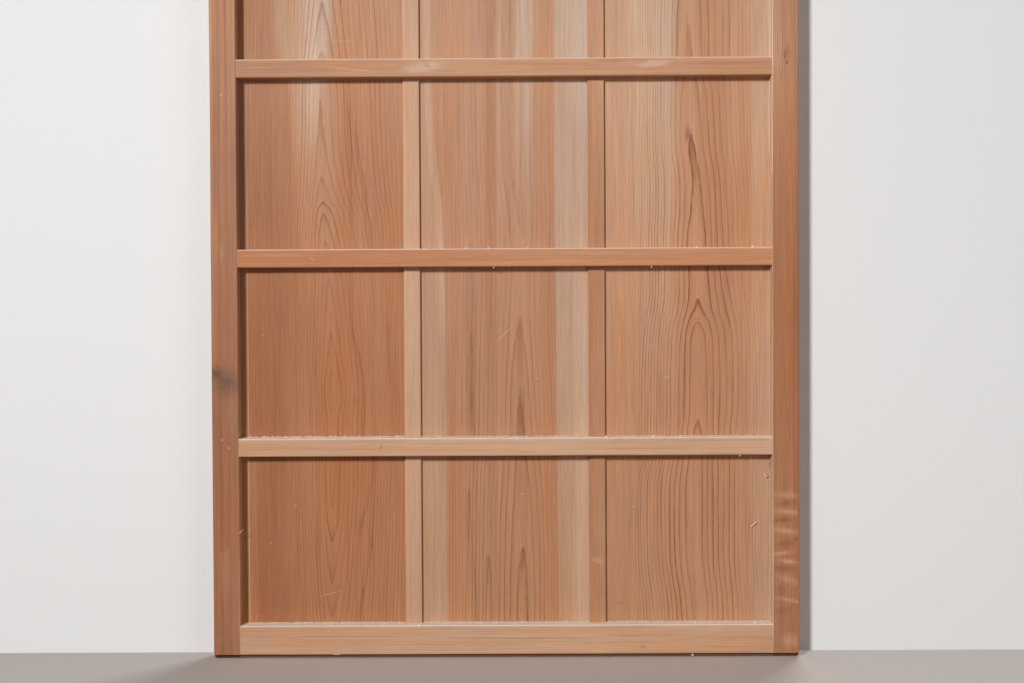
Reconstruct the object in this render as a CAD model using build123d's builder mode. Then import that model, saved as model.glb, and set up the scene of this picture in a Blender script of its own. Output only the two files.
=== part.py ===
"""A sliding board door: a cedar frame with cross rails in front of three wide boards.

The battened face looks along -Y, +X is its right-hand side and +Z is up. The origin lies under the middle of the
door, at the foot of the sill tongue. All sizes are in millimetres.
"""

from build123d import *
import os

os.makedirs("parts", exist_ok=True)

# Overall size
DOOR_WIDTH = 880.0
DOOR_HEIGHT = 1772.0
DOOR_DEPTH = 33.0

# Frame members
STILE_WIDTH = 39.5
BOTTOM_RAIL_HEIGHT = 49.3
TOP_RAIL_HEIGHT = 47.8
CROSS_RAIL_HEIGHT = 27.0
CROSS_RAIL_COUNT = 5
LOWEST_BAY_HEIGHT = 254.9
ARRIS = 0.8
FOOT_CORNER_RADIUS = 4.0

# Tongues that run in the head and sill tracks
TONGUE_THICKNESS = 20.0
SILL_TONGUE_HEIGHT = 6.0
HEAD_TONGUE_HEIGHT = 15.0

# Boards, half lapped behind the cover strips, and the lip of wood behind their grooves
BOARD_THICKNESS = 6.0
BACK_LIP = 4.0
BOARD_LAP = 8.0
BOARD_SEAM = 0.8
BOARD_PLAY = 1.0
STILE_GROOVE_DEPTH = 7.0
RAIL_GROOVE_DEPTH = 6.0
GROOVE_EASE = 0.2

# Cover strips over the board joints
STRIP_WIDTH = 24.5
STRIP_THICKNESS = 5.0
STRIP_ARRIS = 0.6
STRIP_HOUSING_DEPTH = 5.0
MIDDLE_BAY_WIDTH = 254.0
MIDDLE_BAY_SHIFT = -0.6
NOTCH_EASE = 0.1

# Mortises, tenons and wedges
THROUGH_TENON_THICKNESS = 10.0
THROUGH_TENON_HEIGHT = 24.0
THROUGH_TENON_INSET = 5.0
BLIND_TENON_THICKNESS = 9.0
BLIND_TENON_HEIGHT = 18.0
BLIND_TENON_LENGTH = 26.0
TENON_EASE = 0.1
MORTISE_END_ROOM = 1.0
WEDGE_LENGTH = 26.0
WEDGE_RISE = 3.0

# Square nails driven from the back, through the boards into the cross rails
NAIL_THICKNESS = 1.8
NAIL_LENGTH = 21.0
NAIL_POINT_LENGTH = 3.0
NAIL_POINT_TAPER = 12.0
NAIL_HEAD_WIDTH = 4.2
NAIL_HEAD_THICKNESS = 0.9
NAIL_SPREAD = 136.0

# The long hollow worn into the outer front arris of the left stile
WEAR_HEIGHT = 808.0
WEAR_LENGTH = 330.0
WEAR_DEPTH = 1.6

# Depths that the pieces line up with, from the front at -Y to the rear at +Y
FRONT = -DOOR_DEPTH / 2
REAR = DOOR_DEPTH / 2
RAIL_FRONT = FRONT + ARRIS
RAIL_REAR = REAR - ARRIS
BOARD_REAR = REAR - BACK_LIP
BOARD_FRONT = BOARD_REAR - BOARD_THICKNESS
BOARD_MIDDLE = BOARD_REAR - BOARD_THICKNESS / 2
STRIP_FRONT = BOARD_FRONT - STRIP_THICKNESS
GROOVE_REAR = BOARD_REAR + GROOVE_EASE
TENON_LINE = (FRONT + BOARD_FRONT) / 2
TONGUE_FACE = TONGUE_THICKNESS / 2

# Heights of the rails, the boards and the strips
HEAD_SHOULDER = DOOR_HEIGHT - HEAD_TONGUE_HEIGHT
TOP_RAIL_FOOT = DOOR_HEIGHT - TOP_RAIL_HEIGHT
LOWEST_CROSS_RAIL_FOOT = BOTTOM_RAIL_HEIGHT + LOWEST_BAY_HEIGHT
CROSS_RAIL_PITCH = (TOP_RAIL_FOOT - LOWEST_CROSS_RAIL_FOOT) / CROSS_RAIL_COUNT
LOWEST_CROSS_RAIL_LINE = LOWEST_CROSS_RAIL_FOOT + CROSS_RAIL_HEIGHT / 2
CROSS_RAIL_LINES = [LOWEST_CROSS_RAIL_LINE + index * CROSS_RAIL_PITCH for index in range(CROSS_RAIL_COUNT)]
TENON_OFFSET = THROUGH_TENON_INSET + THROUGH_TENON_HEIGHT / 2
BOTTOM_TENON_LINE = SILL_TONGUE_HEIGHT + TENON_OFFSET
TOP_TENON_LINE = HEAD_SHOULDER - TENON_OFFSET
GROOVE_FOOT = BOTTOM_RAIL_HEIGHT - RAIL_GROOVE_DEPTH
GROOVE_HEAD = TOP_RAIL_FOOT + RAIL_GROOVE_DEPTH
STRIP_FOOT = BOTTOM_RAIL_HEIGHT - STRIP_HOUSING_DEPTH
STRIP_HEAD = TOP_RAIL_FOOT + STRIP_HOUSING_DEPTH - BOARD_PLAY

# Sideways places of the stiles, the strips, the board edges and the nails
SHOULDER = DOOR_WIDTH / 2 - STILE_WIDTH
STRIP_OFFSET = (MIDDLE_BAY_WIDTH + STRIP_WIDTH) / 2
STRIP_LINES = [MIDDLE_BAY_SHIFT - STRIP_OFFSET, MIDDLE_BAY_SHIFT + STRIP_OFFSET]
BOARD_EDGE = SHOULDER + STILE_GROOVE_DEPTH - BOARD_PLAY
LAP_REACH = (BOARD_LAP - BOARD_SEAM) / 2
OUTER_BAY_OFFSET = STRIP_WIDTH / 4
BAY_LINES = [
    (STRIP_LINES[0] - SHOULDER) / 2 - OUTER_BAY_OFFSET,
    MIDDLE_BAY_SHIFT,
    (STRIP_LINES[1] + SHOULDER) / 2 + OUTER_BAY_OFFSET,
]
BAY_NAIL_LINES = [line + side * NAIL_SPREAD / 2 for line in BAY_LINES for side in (-1, 1)]
NAIL_POINTS = [(x, z) for z in CROSS_RAIL_LINES for x in BAY_NAIL_LINES + STRIP_LINES]


def front_plane(y: float) -> Plane:
    """Return the upright plane at depth y, with X to the right, Z up and its normal to the front."""
    return Plane.XZ.offset(-y)


def side_plane(x: float) -> Plane:
    """Return the upright plane across the door at x, with +Y to the right, Z up and its normal along +X."""
    return Plane.YZ.offset(x)


def cut_box(x: tuple[float, float], y: tuple[float, float], z: tuple[float, float]) -> None:
    """Cut a box out of the piece in hand, given the two ends of its length along each axis in any order."""
    spans = [sorted(ends) for ends in (x, y, z)]
    size = [high - low for low, high in spans]
    middle = [(high + low) / 2 for low, high in spans]
    with Locations(tuple(middle)):
        Box(*size, mode=Mode.SUBTRACT)


def cut_rebates(x: tuple[float, float], z: tuple[float, float]) -> None:
    """Cut the front and rear rebates that leave a track tongue over the given stretch."""
    cut_box(x, (FRONT, -TONGUE_FACE), z)
    cut_box(x, (TONGUE_FACE, REAR), z)


def cut_nail_holes(points: list[tuple[float, float]]) -> None:
    """Cut the square nail holes at the given (x, z) points, from the back of the boards forward."""
    with BuildSketch(front_plane(BOARD_REAR)) as holes:
        with Locations(*points):
            Rectangle(NAIL_THICKNESS, NAIL_THICKNESS)
    extrude(holes.sketch, amount=NAIL_LENGTH, mode=Mode.SUBTRACT)


def round_foot_corner(hand: int, foot: float, near: float, far: float) -> None:
    """Round the outer corner of the stile in hand at height foot, between the depths near and far."""
    corner = hand * DOOR_WIDTH / 2
    radius = FOOT_CORNER_RADIUS
    with BuildSketch(front_plane(far)) as waste:
        with Locations((corner - hand * radius / 2, foot + radius / 2)):
            Rectangle(radius, radius)
        with Locations((corner - hand * radius, foot + radius)):
            Circle(radius, mode=Mode.SUBTRACT)
    extrude(waste.sketch, amount=far - near, mode=Mode.SUBTRACT)


def make_stile(hand: int) -> Part:
    """Make a stile with its groove, mortises and tongues: hand is -1 on the left and 1 on the right."""
    shoulder = hand * SHOULDER
    outer = hand * DOOR_WIDTH / 2
    groove_bottom = hand * (SHOULDER + STILE_GROOVE_DEPTH)
    flare_start = outer - hand * WEDGE_LENGTH
    mortise_half = THROUGH_TENON_HEIGHT / 2 + TENON_EASE
    with BuildPart() as stile:
        with BuildSketch(Plane.XY) as section:
            with Locations(((shoulder + outer) / 2, 0.0)):
                Rectangle(STILE_WIDTH, DOOR_DEPTH)
            chamfer(section.vertices(), ARRIS)
        extrude(amount=DOOR_HEIGHT)

        # The groove for the boards is stopped inside the top and bottom rails
        cut_box((shoulder, groove_bottom), (BOARD_FRONT, GROOVE_REAR), (GROOVE_FOOT, GROOVE_HEAD))
        cut_rebates((shoulder, outer), (0.0, SILL_TONGUE_HEIGHT))
        cut_rebates((shoulder, outer), (HEAD_SHOULDER, DOOR_HEIGHT))

        # Blind mortises for the cross rails
        with BuildSketch(side_plane(shoulder)):
            with Locations(*[(TENON_LINE, line) for line in CROSS_RAIL_LINES]):
                Rectangle(BLIND_TENON_THICKNESS + 2 * TENON_EASE, BLIND_TENON_HEIGHT + 2 * TENON_EASE)
        extrude(amount=hand * (BLIND_TENON_LENGTH + MORTISE_END_ROOM), mode=Mode.SUBTRACT)

        # Through mortises for the top and bottom rails, flared towards the outer edge for the wedges
        with BuildSketch(front_plane(TENON_LINE)):
            for line in (BOTTOM_TENON_LINE, TOP_TENON_LINE):
                with BuildLine():
                    Polyline(
                        (shoulder, line - mortise_half),
                        (flare_start, line - mortise_half),
                        (outer, line - mortise_half - WEDGE_RISE),
                        (outer, line + mortise_half + WEDGE_RISE),
                        (flare_start, line + mortise_half),
                        (shoulder, line + mortise_half),
                        close=True,
                    )
                make_face()
        extrude(amount=THROUGH_TENON_THICKNESS / 2 + TENON_EASE, both=True, mode=Mode.SUBTRACT)

        # The outer corner of the foot is rounded by use, on the tongue and on both shoulders
        round_foot_corner(hand, 0.0, -TONGUE_FACE, TONGUE_FACE)
        round_foot_corner(hand, SILL_TONGUE_HEIGHT, FRONT, -TONGUE_FACE)
        round_foot_corner(hand, SILL_TONGUE_HEIGHT, TONGUE_FACE, REAR)
    return stile.part


def add_tenons(line: float, height: float, thickness: float, reach: float) -> None:
    """Add a tenon at height line to both ends of the rail in hand, out to x = -reach and x = reach."""
    for hand in (-1, 1):
        with BuildSketch(side_plane(hand * SHOULDER)) as tenon:
            with Locations((TENON_LINE, line)):
                Rectangle(thickness, height)
        extrude(tenon.sketch, amount=hand * (reach - SHOULDER))


def cut_strip_seats(z: tuple[float, float]) -> None:
    """Cut the two seats that let the rail in hand over the cover strips, between the heights z."""
    half_width = STRIP_WIDTH / 2 + NOTCH_EASE
    for line in STRIP_LINES:
        cut_box((line - half_width, line + half_width), (STRIP_FRONT - NOTCH_EASE, BOARD_FRONT), z)


def make_end_rail(foot: float, head: float, tenon_line: float, board_side: int) -> Part:
    """Make the top or the bottom rail, with its groove, tongue and through tenons.

    Args:
        foot: Height of its lower face.
        head: Height of its upper face.
        tenon_line: Height of the middle of its tenons.
        board_side: 1 where the boards stand on it, -1 where they hang into it.
    """
    inner = head if board_side > 0 else foot
    tongue = (foot, SILL_TONGUE_HEIGHT) if board_side > 0 else (HEAD_SHOULDER, head)
    length = (-SHOULDER, SHOULDER)
    with BuildPart() as rail:
        with BuildSketch(side_plane(0.0)) as section:
            with Locations((0.0, (foot + head) / 2)):
                Rectangle(RAIL_REAR - RAIL_FRONT, head - foot)
            chamfer(section.vertices().group_by(Axis.Y)[-1 if board_side > 0 else 0], ARRIS)
        extrude(amount=SHOULDER, both=True)
        cut_box(length, (BOARD_FRONT, GROOVE_REAR), (inner, inner - board_side * RAIL_GROOVE_DEPTH))
        cut_strip_seats((inner, inner - board_side * STRIP_HOUSING_DEPTH))
        cut_rebates(length, tongue)
        add_tenons(tenon_line, THROUGH_TENON_HEIGHT, THROUGH_TENON_THICKNESS, DOOR_WIDTH / 2)
    return rail.part


def make_cross_rail(line: float) -> Part:
    """Make a cross rail with its middle at height line, notched over the strips and tenoned at both ends."""
    half_height = CROSS_RAIL_HEIGHT / 2
    with BuildPart() as rail:
        with BuildSketch(side_plane(0.0)) as section:
            with Locations(((RAIL_FRONT + BOARD_FRONT) / 2, line)):
                Rectangle(BOARD_FRONT - RAIL_FRONT, CROSS_RAIL_HEIGHT)
            chamfer(section.vertices().group_by(Axis.X)[0], ARRIS)
        extrude(amount=SHOULDER, both=True)
        cut_strip_seats((line - half_height, line + half_height))
        add_tenons(line, BLIND_TENON_HEIGHT, BLIND_TENON_THICKNESS, SHOULDER + BLIND_TENON_LENGTH)
        cut_nail_holes([point for point in NAIL_POINTS if point[1] == line])
    return rail.part


def make_board(left: float, right: float, lapped_left: bool, lapped_right: bool) -> Part:
    """Make a board between the sides left and right, with a half lap on each side that meets another board.

    The left side keeps its rear half and the right side keeps its front half, so neighbours lie over each other.
    """
    with BuildPart() as board:
        with BuildSketch(Plane.XY.offset(GROOVE_FOOT)):
            with Locations(((left + right) / 2, BOARD_MIDDLE)):
                Rectangle(right - left, BOARD_THICKNESS)
        extrude(amount=GROOVE_HEAD - BOARD_PLAY - GROOVE_FOOT)
        if lapped_left:
            cut_box((left, left + BOARD_LAP), (BOARD_FRONT, BOARD_MIDDLE), (GROOVE_FOOT, GROOVE_HEAD))
        if lapped_right:
            cut_box((right - BOARD_LAP, right), (BOARD_MIDDLE, BOARD_REAR), (GROOVE_FOOT, GROOVE_HEAD))
        cut_nail_holes([point for point in NAIL_POINTS if left < point[0] < right])
    return board.part


def make_strip(line: float) -> Part:
    """Make the cover strip whose middle is at x = line, housed in the top and bottom rails."""
    with BuildPart() as strip:
        with BuildSketch(Plane.XY.offset(STRIP_FOOT)) as section:
            with Locations((line, (STRIP_FRONT + BOARD_FRONT) / 2)):
                Rectangle(STRIP_WIDTH, STRIP_THICKNESS)
            chamfer(section.vertices().group_by(Axis.Y)[0], STRIP_ARRIS)
        extrude(amount=STRIP_HEAD - STRIP_FOOT)
        cut_nail_holes([point for point in NAIL_POINTS if point[0] == line])
    return strip.part


def finish(piece: BuildPart, name: str) -> None:
    """Label the piece and write it to its own file."""
    piece.part.label = name
    export_step(piece.part, f"parts/{name}.step")


with BuildPart() as left_stile:
    add(make_stile(-1))
    # A shallow arc takes the worn arris away, deepest at the middle of its length
    wear_radius = WEAR_LENGTH**2 / (8 * WEAR_DEPTH)
    outward = Vector(-1, -1, 0).normalized()
    arris_middle = Vector(-DOOR_WIDTH / 2 + ARRIS / 2, FRONT + ARRIS / 2, WEAR_HEIGHT)
    wear_centre = arris_middle + outward * (wear_radius - WEAR_DEPTH)
    with BuildSketch(Plane(origin=wear_centre, x_dir=(0, 0, 1), z_dir=(1, -1, 0))):
        Circle(wear_radius)
    extrude(amount=DOOR_DEPTH, both=True, mode=Mode.SUBTRACT)
finish(left_stile, "left_stile")

with BuildPart() as right_stile:
    add(make_stile(1))
finish(right_stile, "right_stile")

with BuildPart() as bottom_rail:
    add(make_end_rail(0.0, BOTTOM_RAIL_HEIGHT, BOTTOM_TENON_LINE, 1))
finish(bottom_rail, "bottom_rail")

with BuildPart() as top_rail:
    add(make_end_rail(TOP_RAIL_FOOT, DOOR_HEIGHT, TOP_TENON_LINE, -1))
finish(top_rail, "top_rail")

for number, rail_line in enumerate(CROSS_RAIL_LINES, start=1):
    with BuildPart() as cross_rail:
        add(make_cross_rail(rail_line))
    finish(cross_rail, f"cross_rail_{number}")

# Each board reaches a little past the middle of the strip that covers its joint
with BuildPart() as left_board:
    add(make_board(-BOARD_EDGE, STRIP_LINES[0] + LAP_REACH, False, True))
finish(left_board, "left_board")

with BuildPart() as middle_board:
    add(make_board(STRIP_LINES[0] - LAP_REACH, STRIP_LINES[1] + LAP_REACH, True, True))
finish(middle_board, "middle_board")

with BuildPart() as right_board:
    add(make_board(STRIP_LINES[1] - LAP_REACH, BOARD_EDGE, True, False))
finish(right_board, "right_board")

with BuildPart() as left_strip:
    add(make_strip(STRIP_LINES[0]))
finish(left_strip, "left_strip")

with BuildPart() as right_strip:
    add(make_strip(STRIP_LINES[1]))
finish(right_strip, "right_strip")

with BuildPart() as tenon_wedges:
    with BuildSketch(front_plane(TENON_LINE)):
        for hand in (-1, 1):
            wide_end = hand * DOOR_WIDTH / 2
            thin_end = wide_end - hand * WEDGE_LENGTH
            for tenon_line in (BOTTOM_TENON_LINE, TOP_TENON_LINE):
                for side in (-1, 1):
                    tenon_face = tenon_line + side * THROUGH_TENON_HEIGHT / 2
                    with BuildLine():
                        Polyline(
                            (thin_end, tenon_face),
                            (wide_end, tenon_face),
                            (wide_end, tenon_face + side * WEDGE_RISE),
                            close=True,
                        )
                    make_face()
    extrude(amount=THROUGH_TENON_THICKNESS / 2, both=True)
finish(tenon_wedges, "tenon_wedges")

with BuildPart() as board_nails:
    with BuildSketch(front_plane(BOARD_REAR)):
        with Locations(*NAIL_POINTS):
            Rectangle(NAIL_HEAD_WIDTH, NAIL_HEAD_WIDTH)
    extrude(amount=-NAIL_HEAD_THICKNESS)
    with BuildSketch(front_plane(BOARD_REAR)):
        with Locations(*NAIL_POINTS):
            Rectangle(NAIL_THICKNESS, NAIL_THICKNESS)
    extrude(amount=NAIL_LENGTH - NAIL_POINT_LENGTH)
    with BuildSketch(front_plane(BOARD_REAR - NAIL_LENGTH + NAIL_POINT_LENGTH)):
        with Locations(*NAIL_POINTS):
            Rectangle(NAIL_THICKNESS, NAIL_THICKNESS)
    extrude(amount=NAIL_POINT_LENGTH, taper=NAIL_POINT_TAPER)
finish(board_nails, "board_nails")
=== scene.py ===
"""The looks of a sliding cedar board door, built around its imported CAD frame.

Everything is in metres in the CAD frame: the battened face looks along -Y, +X is to its right and +Z is up.
"""

import logging
import math
import random
from dataclasses import dataclass
from enum import Enum

import bmesh
import bpy
from mathutils import Matrix, Vector


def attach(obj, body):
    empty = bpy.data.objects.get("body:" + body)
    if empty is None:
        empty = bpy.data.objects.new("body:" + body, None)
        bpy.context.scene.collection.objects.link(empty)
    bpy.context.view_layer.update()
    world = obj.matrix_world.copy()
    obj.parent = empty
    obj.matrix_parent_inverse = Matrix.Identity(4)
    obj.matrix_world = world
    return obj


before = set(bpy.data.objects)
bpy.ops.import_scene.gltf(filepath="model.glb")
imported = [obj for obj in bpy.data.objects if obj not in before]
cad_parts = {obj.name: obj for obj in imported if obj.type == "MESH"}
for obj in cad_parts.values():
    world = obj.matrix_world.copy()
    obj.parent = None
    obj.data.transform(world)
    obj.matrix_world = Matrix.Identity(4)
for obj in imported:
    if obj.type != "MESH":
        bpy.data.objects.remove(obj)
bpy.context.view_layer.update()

log = logging.getLogger("board_door")

Point = tuple[float, float]
Triple = tuple[float, float, float]
Curve = tuple[Point, ...]
Course = Curve | float

FRAME_FRONT = -0.0165
RAIL_FACE = -0.0157
STRIP_FACE = 0.0015
BOARD_FACE = 0.0065
DOOR_TOP = 1.772
BOTTOM_RAIL_TOP = 0.0493
FIRST_RAIL_TOP = 0.3312
SECOND_RAIL_TOP = 0.6152
# Heights below which the bottom tongue and the door's foot are painted dark, as shade under the bottom rail
SILL_SHADE = (0.0064, 0.0052)
HEAD_DIRT = (1.7566, 1.7578)


class Grain(Enum):
    """Which way the fibres of a piece run."""

    UPRIGHT = "upright"
    LEVEL = "level"


class Reading:
    """A value on its way through a material. Arithmetic on it adds nodes."""

    def __init__(self, bench: "Bench", socket: bpy.types.NodeSocket) -> None:
        """Keep the bench that owns the nodes and the socket that gives the value."""
        self.bench = bench
        self.socket = socket

    def math(self, operation: str, *others: "Reading | float") -> "Reading":
        """Add a Math node.

        Args:
            operation: The node's operation.
            others: Its second and third values.

        Returns:
            The node's result.
        """
        node = self.bench.node("ShaderNodeMath", operation=operation)
        for slot, value in zip(node.inputs, (self, *others)):
            self.bench.feed(slot, value)
        return Reading(self.bench, node.outputs[0])

    def __add__(self, other: "Reading | float") -> "Reading":
        """Add."""
        return self.math("ADD", other)

    def __sub__(self, other: "Reading | float") -> "Reading":
        """Subtract."""
        return self.math("SUBTRACT", other)

    def __mul__(self, other: "Reading | float") -> "Reading":
        """Multiply."""
        return self.math("MULTIPLY", other)

    def flipped(self) -> "Reading":
        """Return one minus the value."""
        return self.math("MULTIPLY_ADD", -1.0, 1.0)

    def smooth(self, start: "Reading | float", end: "Reading | float") -> "Reading":
        """Rise smoothly from 0 at start to 1 at end.

        Args:
            start: The value that gives 0.
            end: The value that gives 1.

        Returns:
            A value from 0 to 1.
        """
        node = self.bench.node("ShaderNodeMapRange", interpolation_type="SMOOTHSTEP")
        for slot, value in zip(node.inputs, (self, start, end, 0.0, 1.0)):
            self.bench.feed(slot, value)
        return Reading(self.bench, node.outputs[0])

    def along(self, curve: Curve) -> "Reading":
        """Read a smooth curve at this value.

        Args:
            curve: Its points, as (value, result), in rising order.

        Returns:
            The curve's result, level past its ends.
        """
        first, last = curve[0][0], curve[-1][0]
        low = min(result for _, result in curve)
        high = max(result for _, result in curve)
        span = (high - low) or 1.0
        node = self.bench.node("ShaderNodeFloatCurve")
        node.mapping.extend = "HORIZONTAL"
        line = node.mapping.curves[0]
        for index, (value, result) in enumerate(curve):
            place = ((value - first) / (last - first), (result - low) / span)
            if index in (0, len(curve) - 1):
                line.points[0 if index == 0 else -1].location = place
            else:
                line.points.new(*place)
        node.mapping.update()
        placed = self.math("MULTIPLY_ADD", 1.0 / (last - first), -first / (last - first))
        self.bench.feed(node.inputs[0], 1.0)
        self.bench.feed(node.inputs[1], placed)
        return Reading(self.bench, node.outputs[0]).math("MULTIPLY_ADD", span, low)

    def follow(self, course: Course) -> "Reading | float":
        """Read a curve at this value, or return the number that stands in for a level one."""
        return self.along(course) if isinstance(course, tuple) else course

    def ramp(self, stops: tuple[tuple[float, Triple], ...]) -> "Reading":
        """Blend between colours placed along this value.

        Args:
            stops: The colours as (value, colour), in rising order.

        Returns:
            The colour at this value.
        """
        first, last = stops[0][0], stops[-1][0]
        node = self.bench.node("ShaderNodeValToRGB")
        node.color_ramp.interpolation = "B_SPLINE"
        marks = node.color_ramp.elements
        for index, (value, colour) in enumerate(stops):
            place = (value - first) / (last - first)
            stop = marks[-1 if index else 0] if index in (0, len(stops) - 1) else marks.new(place)
            stop.position = place
            stop.color = (*colour, 1.0)
        self.bench.feed(
            node.inputs[0], self.math("MULTIPLY_ADD", 1.0 / (last - first), -first / (last - first)),
        )
        return Reading(self.bench, node.outputs[0])


class Bench:
    """A material being made, with short ways to add its nodes."""

    def __init__(self, name: str) -> None:
        """Start a material with a bare shader."""
        self.material = bpy.data.materials.new(name)
        self.material.use_nodes = True
        self.tree = self.material.node_tree
        self.shader = self.tree.nodes["Principled BSDF"]
        place = self.node("ShaderNodeTexCoord").outputs["Object"]
        self.place = Reading(self, place)
        self.x, self.y, self.z = self.split(self.place)

    def node(self, kind: str, **settings: object) -> bpy.types.Node:
        """Add a node of a kind with the given settings.

        Args:
            kind: Blender's name for the kind.
            settings: Its settings by name.

        Returns:
            The node.
        """
        node = self.tree.nodes.new(kind)
        for name, value in settings.items():
            setattr(node, name, value)
        return node

    def feed(self, slot: bpy.types.NodeSocket, value: "Reading | float | tuple[float, ...]") -> None:
        """Link a reading to a slot, or set the slot to a plain value.

        Args:
            slot: The input that gets it.
            value: A reading, a number or a colour.
        """
        if isinstance(value, Reading):
            self.tree.links.new(value.socket, slot)
        elif slot.type == "RGBA" and len(value) == 3:
            slot.default_value = (*value, 1.0)
        else:
            slot.default_value = value

    def split(self, vector: Reading) -> tuple[Reading, Reading, Reading]:
        """Take a vector apart.

        Args:
            vector: The vector.

        Returns:
            Its parts along X, Y and Z.
        """
        node = self.node("ShaderNodeSeparateXYZ")
        self.feed(node.inputs[0], vector)
        return tuple(Reading(self, output) for output in node.outputs)

    def facing(self) -> tuple[Reading, Reading, Reading]:
        """Return the three parts of the surface's direction."""
        return self.split(Reading(self, self.node("ShaderNodeNewGeometry").outputs["Normal"]))

    def noise(
        self, scale: Triple, detail: float = 2.0, seed: float = 0.0, roughness: float = 0.5,
    ) -> Reading:
        """Add a noise stretched along the axes.

        Args:
            scale: Lumps per metre along X, Y and Z.
            detail: How much finer noise rides on it.
            seed: A shift that makes it another noise.
            roughness: How strong the finer noise is.

        Returns:
            A value about 0.5.
        """
        stretch = self.node("ShaderNodeVectorMath", operation="MULTIPLY_ADD")
        for slot, value in zip(stretch.inputs, (self.place, scale, (seed, seed * 1.7, seed * 0.6))):
            self.feed(slot, value)
        node = self.node("ShaderNodeTexNoise")
        self.feed(node.inputs["Vector"], Reading(self, stretch.outputs[0]))
        for name, value in (("Scale", 1.0), ("Detail", detail), ("Roughness", roughness)):
            self.feed(node.inputs[name], value)
        return Reading(self, node.outputs[0])

    def ring_noise(self, ring: Reading, seed: float) -> Reading:
        """Draw a value that is the same all over one growth ring.

        Args:
            ring: The ring's number.
            seed: A shift that makes it another draw.

        Returns:
            A value from 0 to 1.
        """
        node = self.node("ShaderNodeTexWhiteNoise", noise_dimensions="1D")
        self.feed(node.inputs["W"], ring + seed)
        return Reading(self, node.outputs["Value"])

    def distance(self, centre: Triple, reach: Triple, turn: float = 0.0) -> Reading:
        """Measure how far a point is from a centre, as a share of an ellipsoid's reach.

        Args:
            centre: The ellipsoid's middle.
            reach: Its half sizes.
            turn: Its turn about Y, in degrees.

        Returns:
            0 at the middle and 1 at the edge.
        """
        mapping = self.node("ShaderNodeMapping", vector_type="TEXTURE")
        turned = (0.0, math.radians(turn), 0.0)
        for slot, value in zip(mapping.inputs, (self.place, centre, turned, reach)):
            self.feed(slot, value)
        length = self.node("ShaderNodeVectorMath", operation="LENGTH")
        self.feed(length.inputs[0], Reading(self, mapping.outputs[0]))
        return Reading(self, length.outputs["Value"])

    def mix(
        self, first: "Reading | Triple", second: "Reading | Triple", share: Reading, blend: str = "MIX",
    ) -> Reading:
        """Blend two colours by a share from 0 to 1.

        Args:
            first: The colour at 0.
            second: The colour at 1.
            share: How much of the second one shows.
            blend: How they are blended.

        Returns:
            The blended colour.
        """
        node = self.node("ShaderNodeMix", data_type="RGBA", blend_type=blend)
        for slot, value in ((node.inputs[0], share), (node.inputs[6], first), (node.inputs[7], second)):
            self.feed(slot, value)
        return Reading(self, node.outputs[2])

    def shade(self, colour: Reading, amount: Reading) -> Reading:
        """Multiply a colour by a number.

        Args:
            colour: The colour.
            amount: The number.

        Returns:
            The product.
        """
        node = self.node("ShaderNodeVectorMath", operation="SCALE")
        self.feed(node.inputs[0], colour)
        self.feed(node.inputs["Scale"], amount)
        return Reading(self, node.outputs[0])

    def bump(self, height: Reading, distance: float, strength: float = 1.0) -> None:
        """Give the shader relief.

        Args:
            height: The height, about 0 to 1.
            distance: How tall 1 stands, in metres.
            strength: How strongly it turns the light.
        """
        node = self.node("ShaderNodeBump")
        self.feed(node.inputs["Strength"], strength)
        self.feed(node.inputs["Distance"], distance)
        self.feed(node.inputs["Height"], height)
        self.feed(self.shader.inputs["Normal"], Reading(self, node.outputs[0]))


@dataclass(frozen=True)
class Eye:
    """A small closed figure in the grain, where a ring just touches the surface."""

    across: float
    along: float
    width: float
    length: float
    rings: float


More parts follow.
